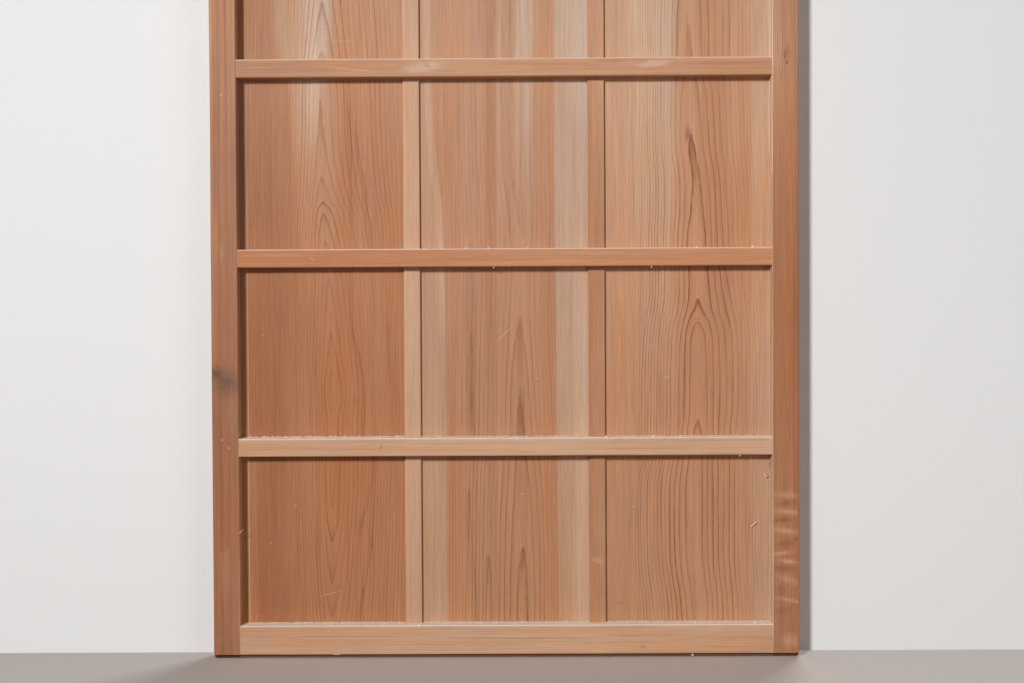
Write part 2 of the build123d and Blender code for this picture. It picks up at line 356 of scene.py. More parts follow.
@dataclass(frozen=True)
class Rings:
    """Growth rings as a sawn piece cuts them.

    The rings are counted from the pith. On the face, flank is how many rings the surface has moved
    sideways from the middle of the figure, and depth is how many rings the pith lies behind it, so arches
    form where the depth changes. Farther than near from home, the lines run straight along the piece.
    Nearer to it they follow the middle, and the spreads crowd or open them on each side. The arches are
    round where roundness is 2 and come to a point where it nears 1. The weight says how dark each ring's
    line is, by its number.
    """

    middle: Curve
    depth: Curve
    flank: Curve
    home: float = 0.0
    left_spread: Curve = ((0.0, 1.0), (2.0, 1.0))
    right_spread: Curve = ((0.0, 1.0), (2.0, 1.0))
    eyes: tuple[Eye, ...] = ()
    near: float = 0.12
    wander: float = 0.003
    ripple: float = 0.12
    roundness: float = 2.0
    weight: Curve = ((0.0, 1.0), (10.0, 1.0))
    depth_density: float = 260.0
    face: float = BOARD_FACE
    seed: float = 0.0

    def count(self, bench: Bench, grain: Grain) -> Reading:
        """Count the rings up to a point.

        Args:
            bench: The material's bench.
            grain: Which way the fibres run.

        Returns:
            The ring number, which rises outwards from the pith.
        """
        upright = grain is Grain.UPRIGHT
        along, across = (bench.z, bench.x) if upright else (bench.x, bench.z)
        slow = (11.0, 11.0, 2.2) if upright else (2.2, 11.0, 11.0)
        quick = (110.0, 110.0, 34.0) if upright else (34.0, 110.0, 110.0)
        sway = bench.noise(slow, 1.0, self.seed) - 0.5
        aside = across - self.home + sway * (self.wander * 4.0)
        close = aside.math("ABSOLUTE").smooth(self.near, 0.0)
        offset = aside - (along.along(self.middle) - self.home) * close
        side = offset.math("GREATER_THAN", 0.0)
        left = along.along(self.left_spread)
        right = along.along(self.right_spread)
        spread = (left + side * (right - left) - 1.0) * close + 1.0
        flank = offset.along(self.flank) * spread
        behind = (bench.y - self.face) * self.depth_density
        depth = along.along(self.depth) + behind
        power = flank.math("ABSOLUTE").math("POWER", self.roundness) + depth.math("POWER", self.roundness)
        count = power.math("POWER", 1.0 / self.roundness)
        ripple = bench.noise(quick, 4.0, self.seed + 3.0, 0.6) - 0.5
        count = count + ripple * (self.ripple * 2.0)
        for eye in self.eyes:
            centre = (eye.across, self.face, eye.along) if upright else (eye.along, self.face, eye.across)
            reach = (eye.width, 0.02, eye.length) if upright else (eye.length, 0.02, eye.width)
            near = bench.distance(centre, reach).smooth(1.0, 0.0)
            count = count + near * eye.rings
        return count


@dataclass(frozen=True)
class Mark:
    """A scratch, pit, dent or stain on a face.

    Attributes:
        x: Place of its middle across the door.
        z: Height of its middle.
        length: Half its length.
        width: Half its width.
        turn: Its turn about Y, in degrees. At 0 its length lies level.
        colour: Colour at its middle.
        strength: How well it covers the wood.
        core: How far out from its middle it stays whole, as a share of its size.
    """

    x: float
    z: float
    length: float
    width: float
    turn: float
    colour: Triple
    strength: float = 0.6
    core: float = 0.3


@dataclass(frozen=True)
class Band:
    """A stretch of another tone that runs along the grain, such as sapwood, a worn edge, or a strip of
    painted light or painted shade.

    Attributes:
        low: Place of its lower or left edge.
        high: Place of its upper or right edge.
        tint: What it multiplies the wood's colour by.
        share: How strong it is.
        soft: Width over which its edges fade.
    """

    low: Course
    high: Course
    tint: Triple
    share: Course = 1.0
    soft: float = 0.004


PALE = (1.10, 1.40, 1.70)
DUSKY = (0.84, 0.79, 0.76)
ORANGE = (1.02, 0.90, 0.80)
WORN = (1.18, 1.36, 1.52)
GREY = (0.80, 0.80, 0.84)

PIT = (0.26, 0.13, 0.08)
STREAK = (0.22, 0.10, 0.06)
CHIP = (0.82, 0.62, 0.48)
SPECK = (0.84, 0.64, 0.50)
RUBBED = (0.80, 0.58, 0.44)
DENT = (0.70, 0.50, 0.38)
SPLASH = (0.60, 0.44, 0.36)
BRUISE = (0.26, 0.12, 0.07)


@dataclass(frozen=True)
class WoodFinish:
    """Old unfinished cedar.

    Attributes:
        tones: Colours of the heartwood along the piece, as (place, colour).
        bands: Stretches of another tone along the grain.
        late: What the hard latewood lines multiply the colour by.
        line: How strong those lines are along the piece.
        line_fade: How strong they are across the piece.
        mottle: How cloudy and streaky the colour is.
        dust: How thickly dust lies on faces that look up.
        nail_lines: Places across the piece of the nails that stain its back.
    """

    name: str
    grain: Grain
    rings: Rings
    tones: tuple[tuple[float, Triple], ...]
    bands: tuple[Band, ...] = ()
    ragged: float = 0.004
    late: Triple = (0.46, 0.29, 0.21)
    line: Course = 0.55
    line_fade: Curve = ((-2.0, 1.0), (2.0, 1.0))
    mottle: float = 0.10
    marks: tuple[Mark, ...] = ()
    face: float = BOARD_FACE
    dust: float = 0.0
    nail_lines: tuple[float, ...] = ()
    seed: float = 0.0

    def stretched(self, side: float, length: float) -> Triple:
        """Return a noise scale that is stretched along the grain."""
        return (side, side, length) if self.grain is Grain.UPRIGHT else (length, side, side)

    def lines(self, bench: Bench, across: Reading, along: Reading) -> Reading:
        """Draw the hard dark lines of the rings.

        Args:
            bench: The material's bench.
            across: Place across the grain.
            along: Place along the grain.

        Returns:
            The share of latewood, from 0 to 1.
        """
        count = self.rings.count(bench, self.grain)
        ring = count.math("FLOOR")
        part = count.math("FRACT")
        drop = part.smooth(1.0, 0.95)
        broad = part.smooth(0.25, 0.95) * drop
        edge = part.smooth(0.70, 0.94) * drop
        uneven = bench.ring_noise(ring, self.seed + 0.37).math("POWER", 1.5)
        uneven = uneven.math("MULTIPLY_ADD", 0.75, 0.42) * ring.along(self.rings.weight)
        faded = bench.noise(self.stretched(45.0, 5.0), 2.0, self.seed + 5.0).smooth(0.30, 0.62)
        broken = bench.noise(self.stretched(260.0, 60.0), 2.0, self.seed + 7.0).smooth(0.25, 0.60)
        strength = across.along(self.line_fade) * uneven * (faded * 0.5 + 0.5) * (broken * 0.35 + 0.65)
        return (broad * 0.30 + edge * 0.70) * strength * along.follow(self.line)

    def banded(self, bench: Bench, base: Reading, across: Reading, along: Reading) -> Reading:
        """Lay the bands over a colour.

        Args:
            bench: The material's bench.
            base: The colour.
            across: Place across the grain.
            along: Place along the grain.

        Returns:
            The banded colour.
        """
        stray = bench.noise(self.stretched(60.0, 6.0), 3.0, self.seed + 9.0) - 0.5
        place = across + stray * (self.ragged * 2.0)
        for band in self.bands:
            low, high, half = along.follow(band.low), along.follow(band.high), band.soft / 2
            inside = place.smooth(low - half, low + half) * place.smooth(high + half, high - half)
            base = bench.mix(base, band.tint, inside * along.follow(band.share), "MULTIPLY")
        return base

    def stained(self, bench: Bench, base: Reading) -> Reading:
        """Blacken the wood round the nails on the back, where the iron has bled along the grain.

        Args:
            bench: The material's bench.
            base: The colour.

        Returns:
            The stained colour.
        """
        aside = (bench.x - self.nail_lines[0]).math("ABSOLUTE")
        for line in self.nail_lines[1:]:
            aside = aside.math("MINIMUM", (bench.x - line).math("ABSOLUTE"))
        half = Frame.pitch / 2
        level = (bench.z - Frame.lowest_line).math("WRAP", half, -half).math("ABSOLUTE")
        spread = bench.noise((90.0, 90.0, 30.0), 3.0, self.seed + 37.0).math("MULTIPLY_ADD", 1.4, 0.3)
        away = (aside * aside + level * level * 0.09).math("SQRT")
        bled = away.smooth(spread * 0.009, 0.0015) * bench.y.smooth(0.010, 0.012)
        return bench.mix(base, (0.16, 0.15, 0.17), bled * 0.75, "MULTIPLY")

    def make(self) -> bpy.types.Material:
        """Make the material.

        Returns:
            The material.
        """
        bench = Bench(self.name)
        upright = self.grain is Grain.UPRIGHT
        along, across = (bench.z, bench.x) if upright else (bench.x, bench.z)

        late = self.lines(bench, across, along)
        base = self.banded(bench, along.ramp(self.tones), across, along)
        base = bench.mix(base, self.late, late, "MULTIPLY")

        cloud = bench.noise(self.stretched(14.0, 3.0), 3.0, self.seed + 13.0) - 0.5
        streak = bench.noise(self.stretched(170.0, 5.0), 3.0, self.seed + 17.0) - 0.5
        thread = bench.noise(self.stretched(420.0, 9.0), 2.0, self.seed + 19.0) - 0.5
        fibre = bench.noise(self.stretched(1000.0, 26.0), 3.0, self.seed + 21.0, 0.65) - 0.5
        amount = cloud * (self.mottle * 2.0) + streak * (self.mottle * 1.8)
        amount = amount + thread * 0.24 + fibre * 0.50 + 1.0
        base = bench.shade(base, amount)
        warm = bench.noise(self.stretched(26.0, 2.6), 3.0, self.seed + 29.0).smooth(0.40, 0.72)
        base = bench.mix(base, (1.03, 0.92, 0.80), warm * 0.8, "MULTIPLY")
        cool = bench.noise(self.stretched(90.0, 4.0), 3.0, self.seed + 31.0).smooth(0.50, 0.74)
        base = bench.mix(base, (0.93, 0.94, 0.99), cool * 0.8, "MULTIPLY")

        ruffle = bench.noise(self.stretched(420.0, 110.0), 3.0, self.seed + 25.0) * 0.9 - 0.45
        for mark in self.marks:
            reach = (mark.length, 0.004, mark.width)
            away = bench.distance((mark.x, self.face, mark.z), reach, mark.turn) + ruffle
            base = bench.mix(base, mark.colour, away.smooth(1.0, mark.core) * mark.strength)
        if self.nail_lines:
            base = self.stained(bench, base)

        # Painted shade on the bottom tongue and the door's foot, under the bottom rail's front, and dirt
        # from the track on the head tongue
        tongue_shade_and_dirt = bench.z.smooth(*SILL_SHADE) + bench.z.smooth(*HEAD_DIRT) * 0.5
        base = bench.mix(base, (0.16, 0.13, 0.11), tongue_shade_and_dirt * 0.9, "MULTIPLY")
        if self.dust:
            _, _, up = bench.facing()
            patch = bench.noise((90.0, 90.0, 90.0), 4.0, self.seed + 33.0).smooth(0.32, 0.62)
            lying = up.smooth(0.3, 0.8) * (patch * 0.25 + 0.75) * self.dust
            base = bench.mix(base, (0.90, 0.84, 0.76), lying)

        bench.feed(bench.shader.inputs["Base Color"], base)
        rough = late.math("MULTIPLY_ADD", -0.15, 0.68) + fibre * 0.3
        bench.feed(bench.shader.inputs["Roughness"], rough)
        bench.feed(bench.shader.inputs["Specular IOR Level"], 0.15)
        relief = late * 0.6 + fibre * 0.9 + thread * 0.5 + streak * 0.4
        bench.bump(relief, 0.0006, 0.6)
        return bench.material


@dataclass(frozen=True)
class NailFinish:
    """Rust-darkened iron."""

    name: str = "nail_iron"

    def make(self) -> bpy.types.Material:
        """Make the material.

        Returns:
            The material.
        """
        bench = Bench(self.name)
        rust = bench.noise((700.0, 700.0, 700.0), 4.0, 2.0).smooth(0.4, 0.65)
        bench.feed(
            bench.shader.inputs["Base Color"],
            bench.mix((0.035, 0.028, 0.026), (0.13, 0.052, 0.022), rust),
        )
        bench.feed(bench.shader.inputs["Metallic"], rust.flipped() * 0.5)
        bench.feed(bench.shader.inputs["Roughness"], rust.math("MULTIPLY_ADD", 0.3, 0.6))
        bench.bump(rust, 0.0002, 0.5)
        return bench.material


@dataclass(frozen=True)
class LitterFinish:
    """Lint, crumbs or shavings, mottled between two colours."""

    name: str
    dark: Triple
    pale: Triple
    scale: float

    def make(self) -> bpy.types.Material:
        """Make the material.

        Returns:
            The material.
        """
        bench = Bench(self.name)
        mottle = bench.noise((self.scale, self.scale, self.scale), 3.0, 5.0).smooth(0.35, 0.65)
        bench.feed(bench.shader.inputs["Base Color"], bench.mix(self.dark, self.pale, mottle))
        bench.feed(bench.shader.inputs["Roughness"], mottle.math("MULTIPLY_ADD", 0.15, 0.8))
        bench.feed(bench.shader.inputs["Specular IOR Level"], 0.15)
        bench.bump(mottle, 0.0001, 0.5)
        return bench.material


def dress(node: str, material: bpy.types.Material) -> None:
    """Put a material on every slot of a CAD node.

    Args:
        node: The CAD node's name.
        material: The material.
    """
    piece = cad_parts[node]
    if not piece.material_slots:
        piece.data.materials.append(material)
    for slot in piece.material_slots:
        slot.link = "OBJECT"
        slot.material = material
    log.info("dressed %s in %s", node, material.name)


def wavy_line(
    course: Curve, share: Curve, width: float = 0.0012, tint: Triple = (0.68, 0.57, 0.51),
) -> tuple[Band, ...]:
    """Return a dark line that wanders along the grain, with the faint shade beside it.

    Args:
        course: Its place across the piece, by the place along the piece.
        share: How strong it is along the piece.
        width: Its width.
        tint: What it multiplies the wood's colour by.

    Returns:
        The bands that draw it.
    """
    shifted = tuple((place, across + width) for place, across in course)
    shaded = tuple((place, across - 0.0050) for place, across in course)
    none = ((share[0][0] - 0.012, 0.0), *share, (share[-1][0] + 0.012, 0.0))
    return (
        Band(course, shifted, tint, none, 0.0008 + width / 2),
        Band(shaded, course, (0.92, 0.88, 0.85), none, 0.005),
    )


MIDDLE_SPREAD = ((0.0, 0.70), (0.18, 0.74), (0.40, 1.15), (0.60, 1.20), (0.80, 1.0), (DOOR_TOP, 1.0))
SAPWOOD_EDGE = (
    (0.0, -0.089), (0.46, -0.090), (0.62, -0.092), (0.745, -0.101), (0.87, -0.109), (DOOR_TOP, -0.112),
)


@dataclass
class Boards:
    """The three wide boards behind the battens, each cut from its own log."""

    left: WoodFinish = WoodFinish(
        name="left_board_cedar",
        grain=Grain.UPRIGHT,
        rings=Rings(
            middle=(
                (0.0, -0.2655), (0.107, -0.2647), (0.30, -0.2632), (0.437, -0.2623), (0.491, -0.2634),
                (0.577, -0.2658), (0.632, -0.2700), (0.690, -0.2726), (0.80, -0.2758), (0.99, -0.2749),
                (1.30, -0.268), (1.60, -0.275), (DOOR_TOP, -0.272),
            ),
            depth=(
                (0.0, 6.2), (0.055, 5.0), (0.107, 4.0), (0.172, 3.0), (0.218, 2.0), (0.270, 1.7),
                (0.335, 2.1), (0.350, 2.15), (0.3656, 2.0), (0.385, 1.35), (0.401, 1.15), (0.420, 1.45),
                (0.4355, 2.0), (0.494, 3.0), (0.577, 4.0), (0.6314, 5.0), (0.6714, 6.0), (0.689, 7.0),
                (0.7275, 8.0), (0.797, 8.8), (0.848, 9.0), (0.880, 9.3), (0.917, 10.0), (0.992, 11.0),
                (1.12, 12.2), (1.30, 10.5), (1.45, 8.4), (1.62, 5.2), (DOOR_TOP, 4.4),
            ),
            flank=(
                (-0.20, -44.0), (-0.10, -25.5), (-0.05, -12.8), (-0.02, -5.2), (0.0, 0.0), (0.02, 3.9),
                (0.05, 9.0), (0.10, 18.0), (0.15, 27.5),
            ),
            left_spread=(
                (0.0, 0.95), (0.20, 0.92), (0.40, 0.80), (0.52, 0.85), (0.65, 1.0), (DOOR_TOP, 1.0),
            ),
            right_spread=(
                (0.0, 0.95), (0.20, 0.90), (0.40, 0.80), (0.52, 0.85), (0.65, 0.95), (DOOR_TOP, 1.0),
            ),
            home=-0.269,
            near=0.115,
            ripple=0.16,
            roundness=1.6,
            seed=1.3,
        ),
        tones=(
            (0.0, (0.441, 0.198, 0.096)), (0.177, (0.441, 0.197, 0.095)), (0.461, (0.458, 0.202, 0.098)),
            (0.745, (0.490, 0.240, 0.130)), (0.945, (0.541, 0.304, 0.186)), (1.30, (0.54, 0.28, 0.165)),
            (DOOR_TOP, (0.58, 0.29, 0.17)),
        ),
        bands=(
            Band(
                -0.46, -0.330, DUSKY,
                ((0.0, 1.0), (0.461, 1.1), (0.745, 1.1), (0.945, 1.0), (DOOR_TOP, 0.9)), 0.07,
            ),
            # Painted light: lifts the left stile's cast shadow on the board's left edge, most strongly low
            # down
            Band(
                -0.46, -0.3888, (1.50, 1.90, 2.05),
                ((0.0, 1.0), (0.25, 1.0), (0.45, 0.6), (0.75, 0.25), (1.0, 0.1)), 0.002,
            ),
            Band(
                ((0.0, -0.32), (0.80, -0.318), (0.90, -0.335), (1.0, -0.345), (DOOR_TOP, -0.34)),
                (
                    (0.0, -0.29), (0.70, -0.289), (0.80, -0.283), (0.90, -0.272), (1.0, -0.262),
                    (DOOR_TOP, -0.27),
                ),
                PALE,
                (
                    (0.0, 0.0), (0.57, 0.0), (0.66, 0.18), (0.74, 0.36), (0.84, 0.66), (1.0, 0.60),
                    (1.3, 0.3), (DOOR_TOP, 0.5),
                ),
                0.016,
            ),
            Band(
                -0.298, -0.281, (1.12, 1.22, 1.28),
                ((0.70, 0.0), (0.80, 0.5), (0.86, 1.0), (1.0, 0.8), (1.3, 0.0)), 0.006,
            ),
            Band(
                -0.283, -0.255, PALE,
                ((0.0, 0.0), (0.45, 0.0), (0.62, 0.2), (0.80, 0.3), (1.0, 0.45), (DOOR_TOP, 0.2)), 0.02,
            ),
            Band(
                -0.258, -0.215, ORANGE,
                ((0.0, 0.2), (0.60, 0.3), (0.88, 0.6), (1.0, 0.3), (DOOR_TOP, 0.4)), 0.02,
            ),
            Band(
                -0.389, -0.376, WORN, ((0.0, 0.5), (0.28, 0.55), (0.33, 0.2), (0.60, 0.25), (0.65, 0.0)),
                0.005,
            ),
            *wavy_line(
                (
                    (0.6215, -0.2239), (0.6563, -0.2292), (0.7199, -0.2322), (0.7615, -0.2311),
                    (0.788, -0.2322), (0.8447, -0.2375), (0.90, -0.2390),
                ),
                ((0.60, 0.5), (0.66, 0.6), (0.76, 0.9), (0.84, 0.6), (0.90, 0.0)),
            ),
            *wavy_line(
                (
                    (0.3369, -0.2160), (0.3899, -0.2133), (0.4429, -0.2191), (0.4701, -0.2254),
                    (0.5129, -0.2312), (0.5564, -0.2292), (0.6245, -0.1997), (0.6745, -0.2065),
                    (0.7047, -0.2103), (0.7502, -0.2178), (0.8107, -0.2262),
                ),
                (
                    (0.33, 0.6), (0.40, 0.9), (0.52, 0.6), (0.57, 0.4), (0.62, 0.6), (0.70, 0.9),
                    (0.79, 0.6), (0.82, 0.0),
                ),
            ),
            *wavy_line(
                (
                    (0.0538, -0.2224), (0.0811, -0.2194), (0.1219, -0.2118), (0.1674, -0.2042),
                    (0.2052, -0.2020), (0.281, -0.1967), (0.33, -0.194),
                ),
                (
                    (0.04, 0.5), (0.08, 0.9), (0.12, 0.7), (0.17, 1.0), (0.23, 0.4), (0.29, 0.6),
                    (0.33, 0.5),
                ),
            ),
            *wavy_line(
                (
                    (0.045, -0.2300), (0.1295, -0.2270), (0.1719, -0.2232), (0.2022, -0.2194),
                    (0.2279, -0.2103), (0.2627, -0.2042), (0.293, -0.2004),
                ),
                ((0.04, 0.2), (0.12, 0.5), (0.17, 0.6), (0.20, 1.0), (0.23, 0.7), (0.30, 0.6)),
            ),
        ),
        ragged=0.0015,
        late=(0.47, 0.30, 0.22),
        line=(
            (0.0, 0.80), (0.30, 0.80), (0.36, 0.74), (0.50, 0.72), (0.56, 0.60), (0.66, 0.86),
            (DOOR_TOP, 0.95),
        ),
        line_fade=(
            (-0.42, 0.34), (-0.34, 0.42), (-0.30, 0.85), (-0.27, 1.0), (-0.24, 0.72), (-0.13, 0.55),
        ),
        marks=(
            Mark(-0.2467, 0.930, 0.028, 0.0006, 0.0, (0.72, 0.50, 0.36), 0.5),
            Mark(-0.276, 0.949, 0.0012, 0.0014, 0.0, PIT, 0.6),
            Mark(-0.271, 0.941, 0.0010, 0.0016, 0.0, PIT, 0.6),
            Mark(-0.279, 0.932, 0.0010, 0.0012, 0.0, PIT, 0.6),
            Mark(-0.268, 0.960, 0.0014, 0.0010, 0.0, PIT, 0.6),
            Mark(-0.275, 0.776, 0.0030, 0.0009, 10.0, (0.30, 0.15, 0.09), 0.5),
            Mark(-0.2695, 0.0929, 0.0255, 0.0008, -14.3, (0.66, 0.40, 0.26), 0.55),
            Mark(-0.3666, 0.4871, 0.0012, 0.0012, 0.0, RUBBED, 0.55),
            Mark(-0.3185, 0.2287, 0.0013, 0.0011, 0.0, CHIP, 0.60),
            Mark(-0.3570, 0.1710, 0.0009, 0.0028, 0.0, CHIP, 0.65),
            Mark(-0.3730, 0.0658, 0.0022, 0.0016, 0.0, (0.17, 0.09, 0.06), 0.75),
            Mark(-0.2190, 0.1977, 0.0016, 0.0060, 0.0, STREAK, 0.55),
            Mark(-0.2030, 0.1674, 0.0016, 0.0080, 8.0, STREAK, 0.55),
            Mark(-0.2175, 0.0950, 0.0018, 0.0130, 0.0, STREAK, 0.6),
            Mark(-0.2300, 0.3850, 0.0013, 0.0090, -6.0, (0.28, 0.13, 0.08), 0.5),
            Mark(-0.2360, 0.6800, 0.0016, 0.0045, 30.0, (0.30, 0.17, 0.12), 0.5),
        ),
        mottle=0.12,
        nail_lines=(-0.3453, -0.2093, -0.1399),
        seed=2.0,
    )
    middle: WoodFinish = WoodFinish(
        name="middle_board_cedar",
        grain=Grain.UPRIGHT,
        rings=Rings(
            middle=(
                (0.0, 0.0235), (0.17, 0.0258), (0.37, 0.0238), (0.49, 0.0244), (0.614, 0.0265),
                (0.73, 0.018), (0.95, 0.015), (1.30, 0.020), (DOOR_TOP, 0.012),
            ),
            depth=(
                (0.0, 0.5), (0.083, 0.6), (0.166, 1.0), (0.24, 1.35), (0.33, 1.70), (0.402, 2.0),
                (0.46, 2.55), (0.512, 3.0), (0.55, 3.14), (0.59, 3.15), (0.6215, 3.0), (0.66, 2.86),
                (0.72, 2.74), (0.80, 2.68), (0.992, 2.72), (1.20, 3.2), (1.40, 3.8), (1.60, 4.3),
                (DOOR_TOP, 4.6),
            ),
            flank=(
                (-0.17, -32.0), (-0.115, -19.5), (-0.05, -7.4), (-0.010, -1.1), (0.0, 0.0), (0.010, 1.1),
                (0.045, 6.4), (0.065, 11.0), (0.12, 29.0),
            ),
            eyes=(
                Eye(-0.0474, 0.644, 0.006, 0.030, 0.9),
                Eye(-0.0485, 0.417, 0.006, 0.085, 0.8),
                Eye(-0.0320, 0.429, 0.004, 0.026, 0.7),
            ),
            home=0.02,
            near=0.10,
            ripple=0.16,
            roundness=1.7,
            left_spread=MIDDLE_SPREAD,
            right_spread=MIDDLE_SPREAD,
            weight=((0.0, 2.2), (1.0, 1.3), (2.0, 1.1), (3.0, 0.9), (10.0, 1.0)),
            seed=7.1,
        ),
        tones=(
            (0.0, (0.498, 0.252, 0.136)), (0.177, (0.498, 0.252, 0.136)), (0.461, (0.498, 0.256, 0.146)),
            (0.745, (0.515, 0.273, 0.166)), (0.945, (0.550, 0.326, 0.208)), (1.30, (0.54, 0.29, 0.18)),
            (DOOR_TOP, (0.57, 0.29, 0.17)),
        ),
        bands=(
            Band(
                -0.16,
                SAPWOOD_EDGE,
                PALE,
                (
                    (0.0, 0.60), (0.177, 0.60), (0.461, 0.48), (0.70, 0.28), (0.86, 0.05), (1.0, 0.0),
                    (DOOR_TOP, 0.3),
                ),
                0.003,
            ),
            Band(
                ((0.0, -0.101), (0.62, -0.104), (0.745, -0.113), (0.87, -0.120), (DOOR_TOP, -0.123)),
                SAPWOOD_EDGE,
                WORN,
                ((0.0, 0.0), (0.40, 0.1), (0.62, 0.45), (0.90, 0.55), (DOOR_TOP, 0.5)),
                0.005,
            ),
            Band(
                ((0.0, 0.0805), (0.177, 0.0796), (0.461, 0.0773), (0.745, 0.0762), (DOOR_TOP, 0.0755)),
                0.16,
                PALE,
                ((0.0, 0.62), (0.177, 0.66), (0.461, 0.82), (0.945, 0.88), (DOOR_TOP, 0.8)),
                0.004,
            ),
            Band(
                0.105, 0.16, WORN,
                ((0.0, 0.3), (0.30, 0.55), (0.60, 0.3), (0.80, 0.1), (1.0, 0.3), (DOOR_TOP, 0.2)), 0.012,
            ),
            Band(
                -0.027, -0.012, (0.86, 0.85, 0.86),
                ((0.0, 0.3), (0.3, 0.5), (0.6, 0.3), (0.70, 0.8), (1.0, 0.8), (DOOR_TOP, 0.5)), 0.004,
            ),
            Band(
                0.018, 0.043, PALE,
                (
                    (0.0, 0.0), (0.62, 0.08), (0.75, 0.35), (0.86, 0.65), (1.0, 0.9), (1.3, 0.3),
                    (DOOR_TOP, 0.4),
                ),
                0.008,
            ),
            Band(
                -0.012, -0.001, WORN,
                ((0.0, 0.0), (0.60, 0.1), (0.75, 0.45), (0.9, 0.4), (1.1, 0.1), (DOOR_TOP, 0.3)), 0.004,
            ),
            Band(
                0.050, 0.0755, ORANGE, ((0.0, 0.45), (0.3, 0.6), (0.6, 0.5), (0.9, 0.5), (DOOR_TOP, 0.5)),
                0.012,
            ),
            Band(
                -0.052, -0.0445, GREY, ((0.28, 0.0), (0.34, 0.7), (0.50, 0.9), (0.58, 0.6), (0.63, 0.0)),
                0.004,
            ),
            *wavy_line(
                (
                    (0.345, -0.0530), (0.40, -0.0540), (0.46, -0.0545), (0.50, -0.0570), (0.56, -0.0590),
                    (0.62, -0.0540),
                ),
                ((0.35, 0.9), (0.45, 0.8), (0.53, 0.5), (0.60, 0.3)),
                0.0045,
                (0.82, 0.75, 0.71),
            ),
            *wavy_line(
                ((0.05, -0.0625), (0.09, -0.0612), (0.155, -0.0589), (0.20, -0.0572), (0.245, -0.0560)),
                ((0.05, 0.4), (0.14, 0.5), (0.20, 0.8), (0.240, 0.7)),
                0.0014,
            ),
            *wavy_line(
                ((0.05, -0.0440), (0.09, -0.0461), (0.155, -0.0506), (0.20, -0.0535), (0.245, -0.0552)),
                ((0.05, 0.7), (0.14, 0.5), (0.20, 0.7), (0.240, 0.7)),
                0.0014,
            ),
            *wavy_line(
                ((0.05, -0.0322), (0.10, -0.0302), (0.128, -0.0284), (0.1447, -0.0268)),
                ((0.05, 0.4), (0.10, 0.7), (0.140, 0.8)),
                0.0014,
            ),
            *wavy_line(
                ((0.05, -0.0205), (0.10, -0.0226), (0.128, -0.0244), (0.1447, -0.0262)),
                ((0.05, 0.4), (0.10, 0.7), (0.140, 0.8)),
                0.0014,
            ),
            Band(
                0.0205, 0.0300, (0.86, 0.76, 0.68),
                ((0.33, 0.0), (0.335, 0.9), (0.385, 0.9), (0.405, 0.0)), 0.003,
            ),
            Band(
                0.0185, 0.0265, (0.88, 0.80, 0.73),
                ((0.42, 0.0), (0.44, 0.8), (0.495, 0.9), (0.515, 0.0)), 0.003,
            ),
            Band(-0.085, -0.066, ORANGE, ((0.0, 0.2), (0.4, 0.4), (0.7, 0.3), (DOOR_TOP, 0.3)), 0.01),
        ),
        late=(0.50, 0.33, 0.24),
        line=(
            (0.0, 0.85), (0.25, 0.78), (0.33, 0.62), (0.60, 0.58), (0.72, 0.42), (0.90, 0.36),
            (1.0, 0.42), (DOOR_TOP, 0.7),
        ),
        line_fade=(
            (-0.15, 0.32), (-0.093, 0.38), (-0.086, 0.85), (0.06, 0.95), (0.075, 0.72), (0.14, 0.58),
        ),
        marks=(
            Mark(0.0001, 0.4875, 0.0240, 0.0007, -46.0, (0.76, 0.54, 0.39), 0.6),
            Mark(0.0247, 0.2440, 0.0014, 0.0014, 0.0, (0.86, 0.68, 0.54), 0.85),
            Mark(0.0490, 0.4190, 0.0022, 0.0010, -10.0, (0.78, 0.56, 0.42), 0.6),
            Mark(0.1150, 0.0700, 0.0016, 0.0012, 0.0, (0.26, 0.14, 0.09), 0.7),
            Mark(-0.0560, 0.2150, 0.0026, 0.0300, 0.0, (0.40, 0.17, 0.09), 0.55),
            Mark(-0.0265, 0.1280, 0.0024, 0.0140, 0.0, (0.38, 0.19, 0.12), 0.40),
        ),
        ragged=0.0015,
        mottle=0.13,
        nail_lines=(-0.0686, 0.0674, -0.1399, 0.1387),
        seed=11.0,
    )
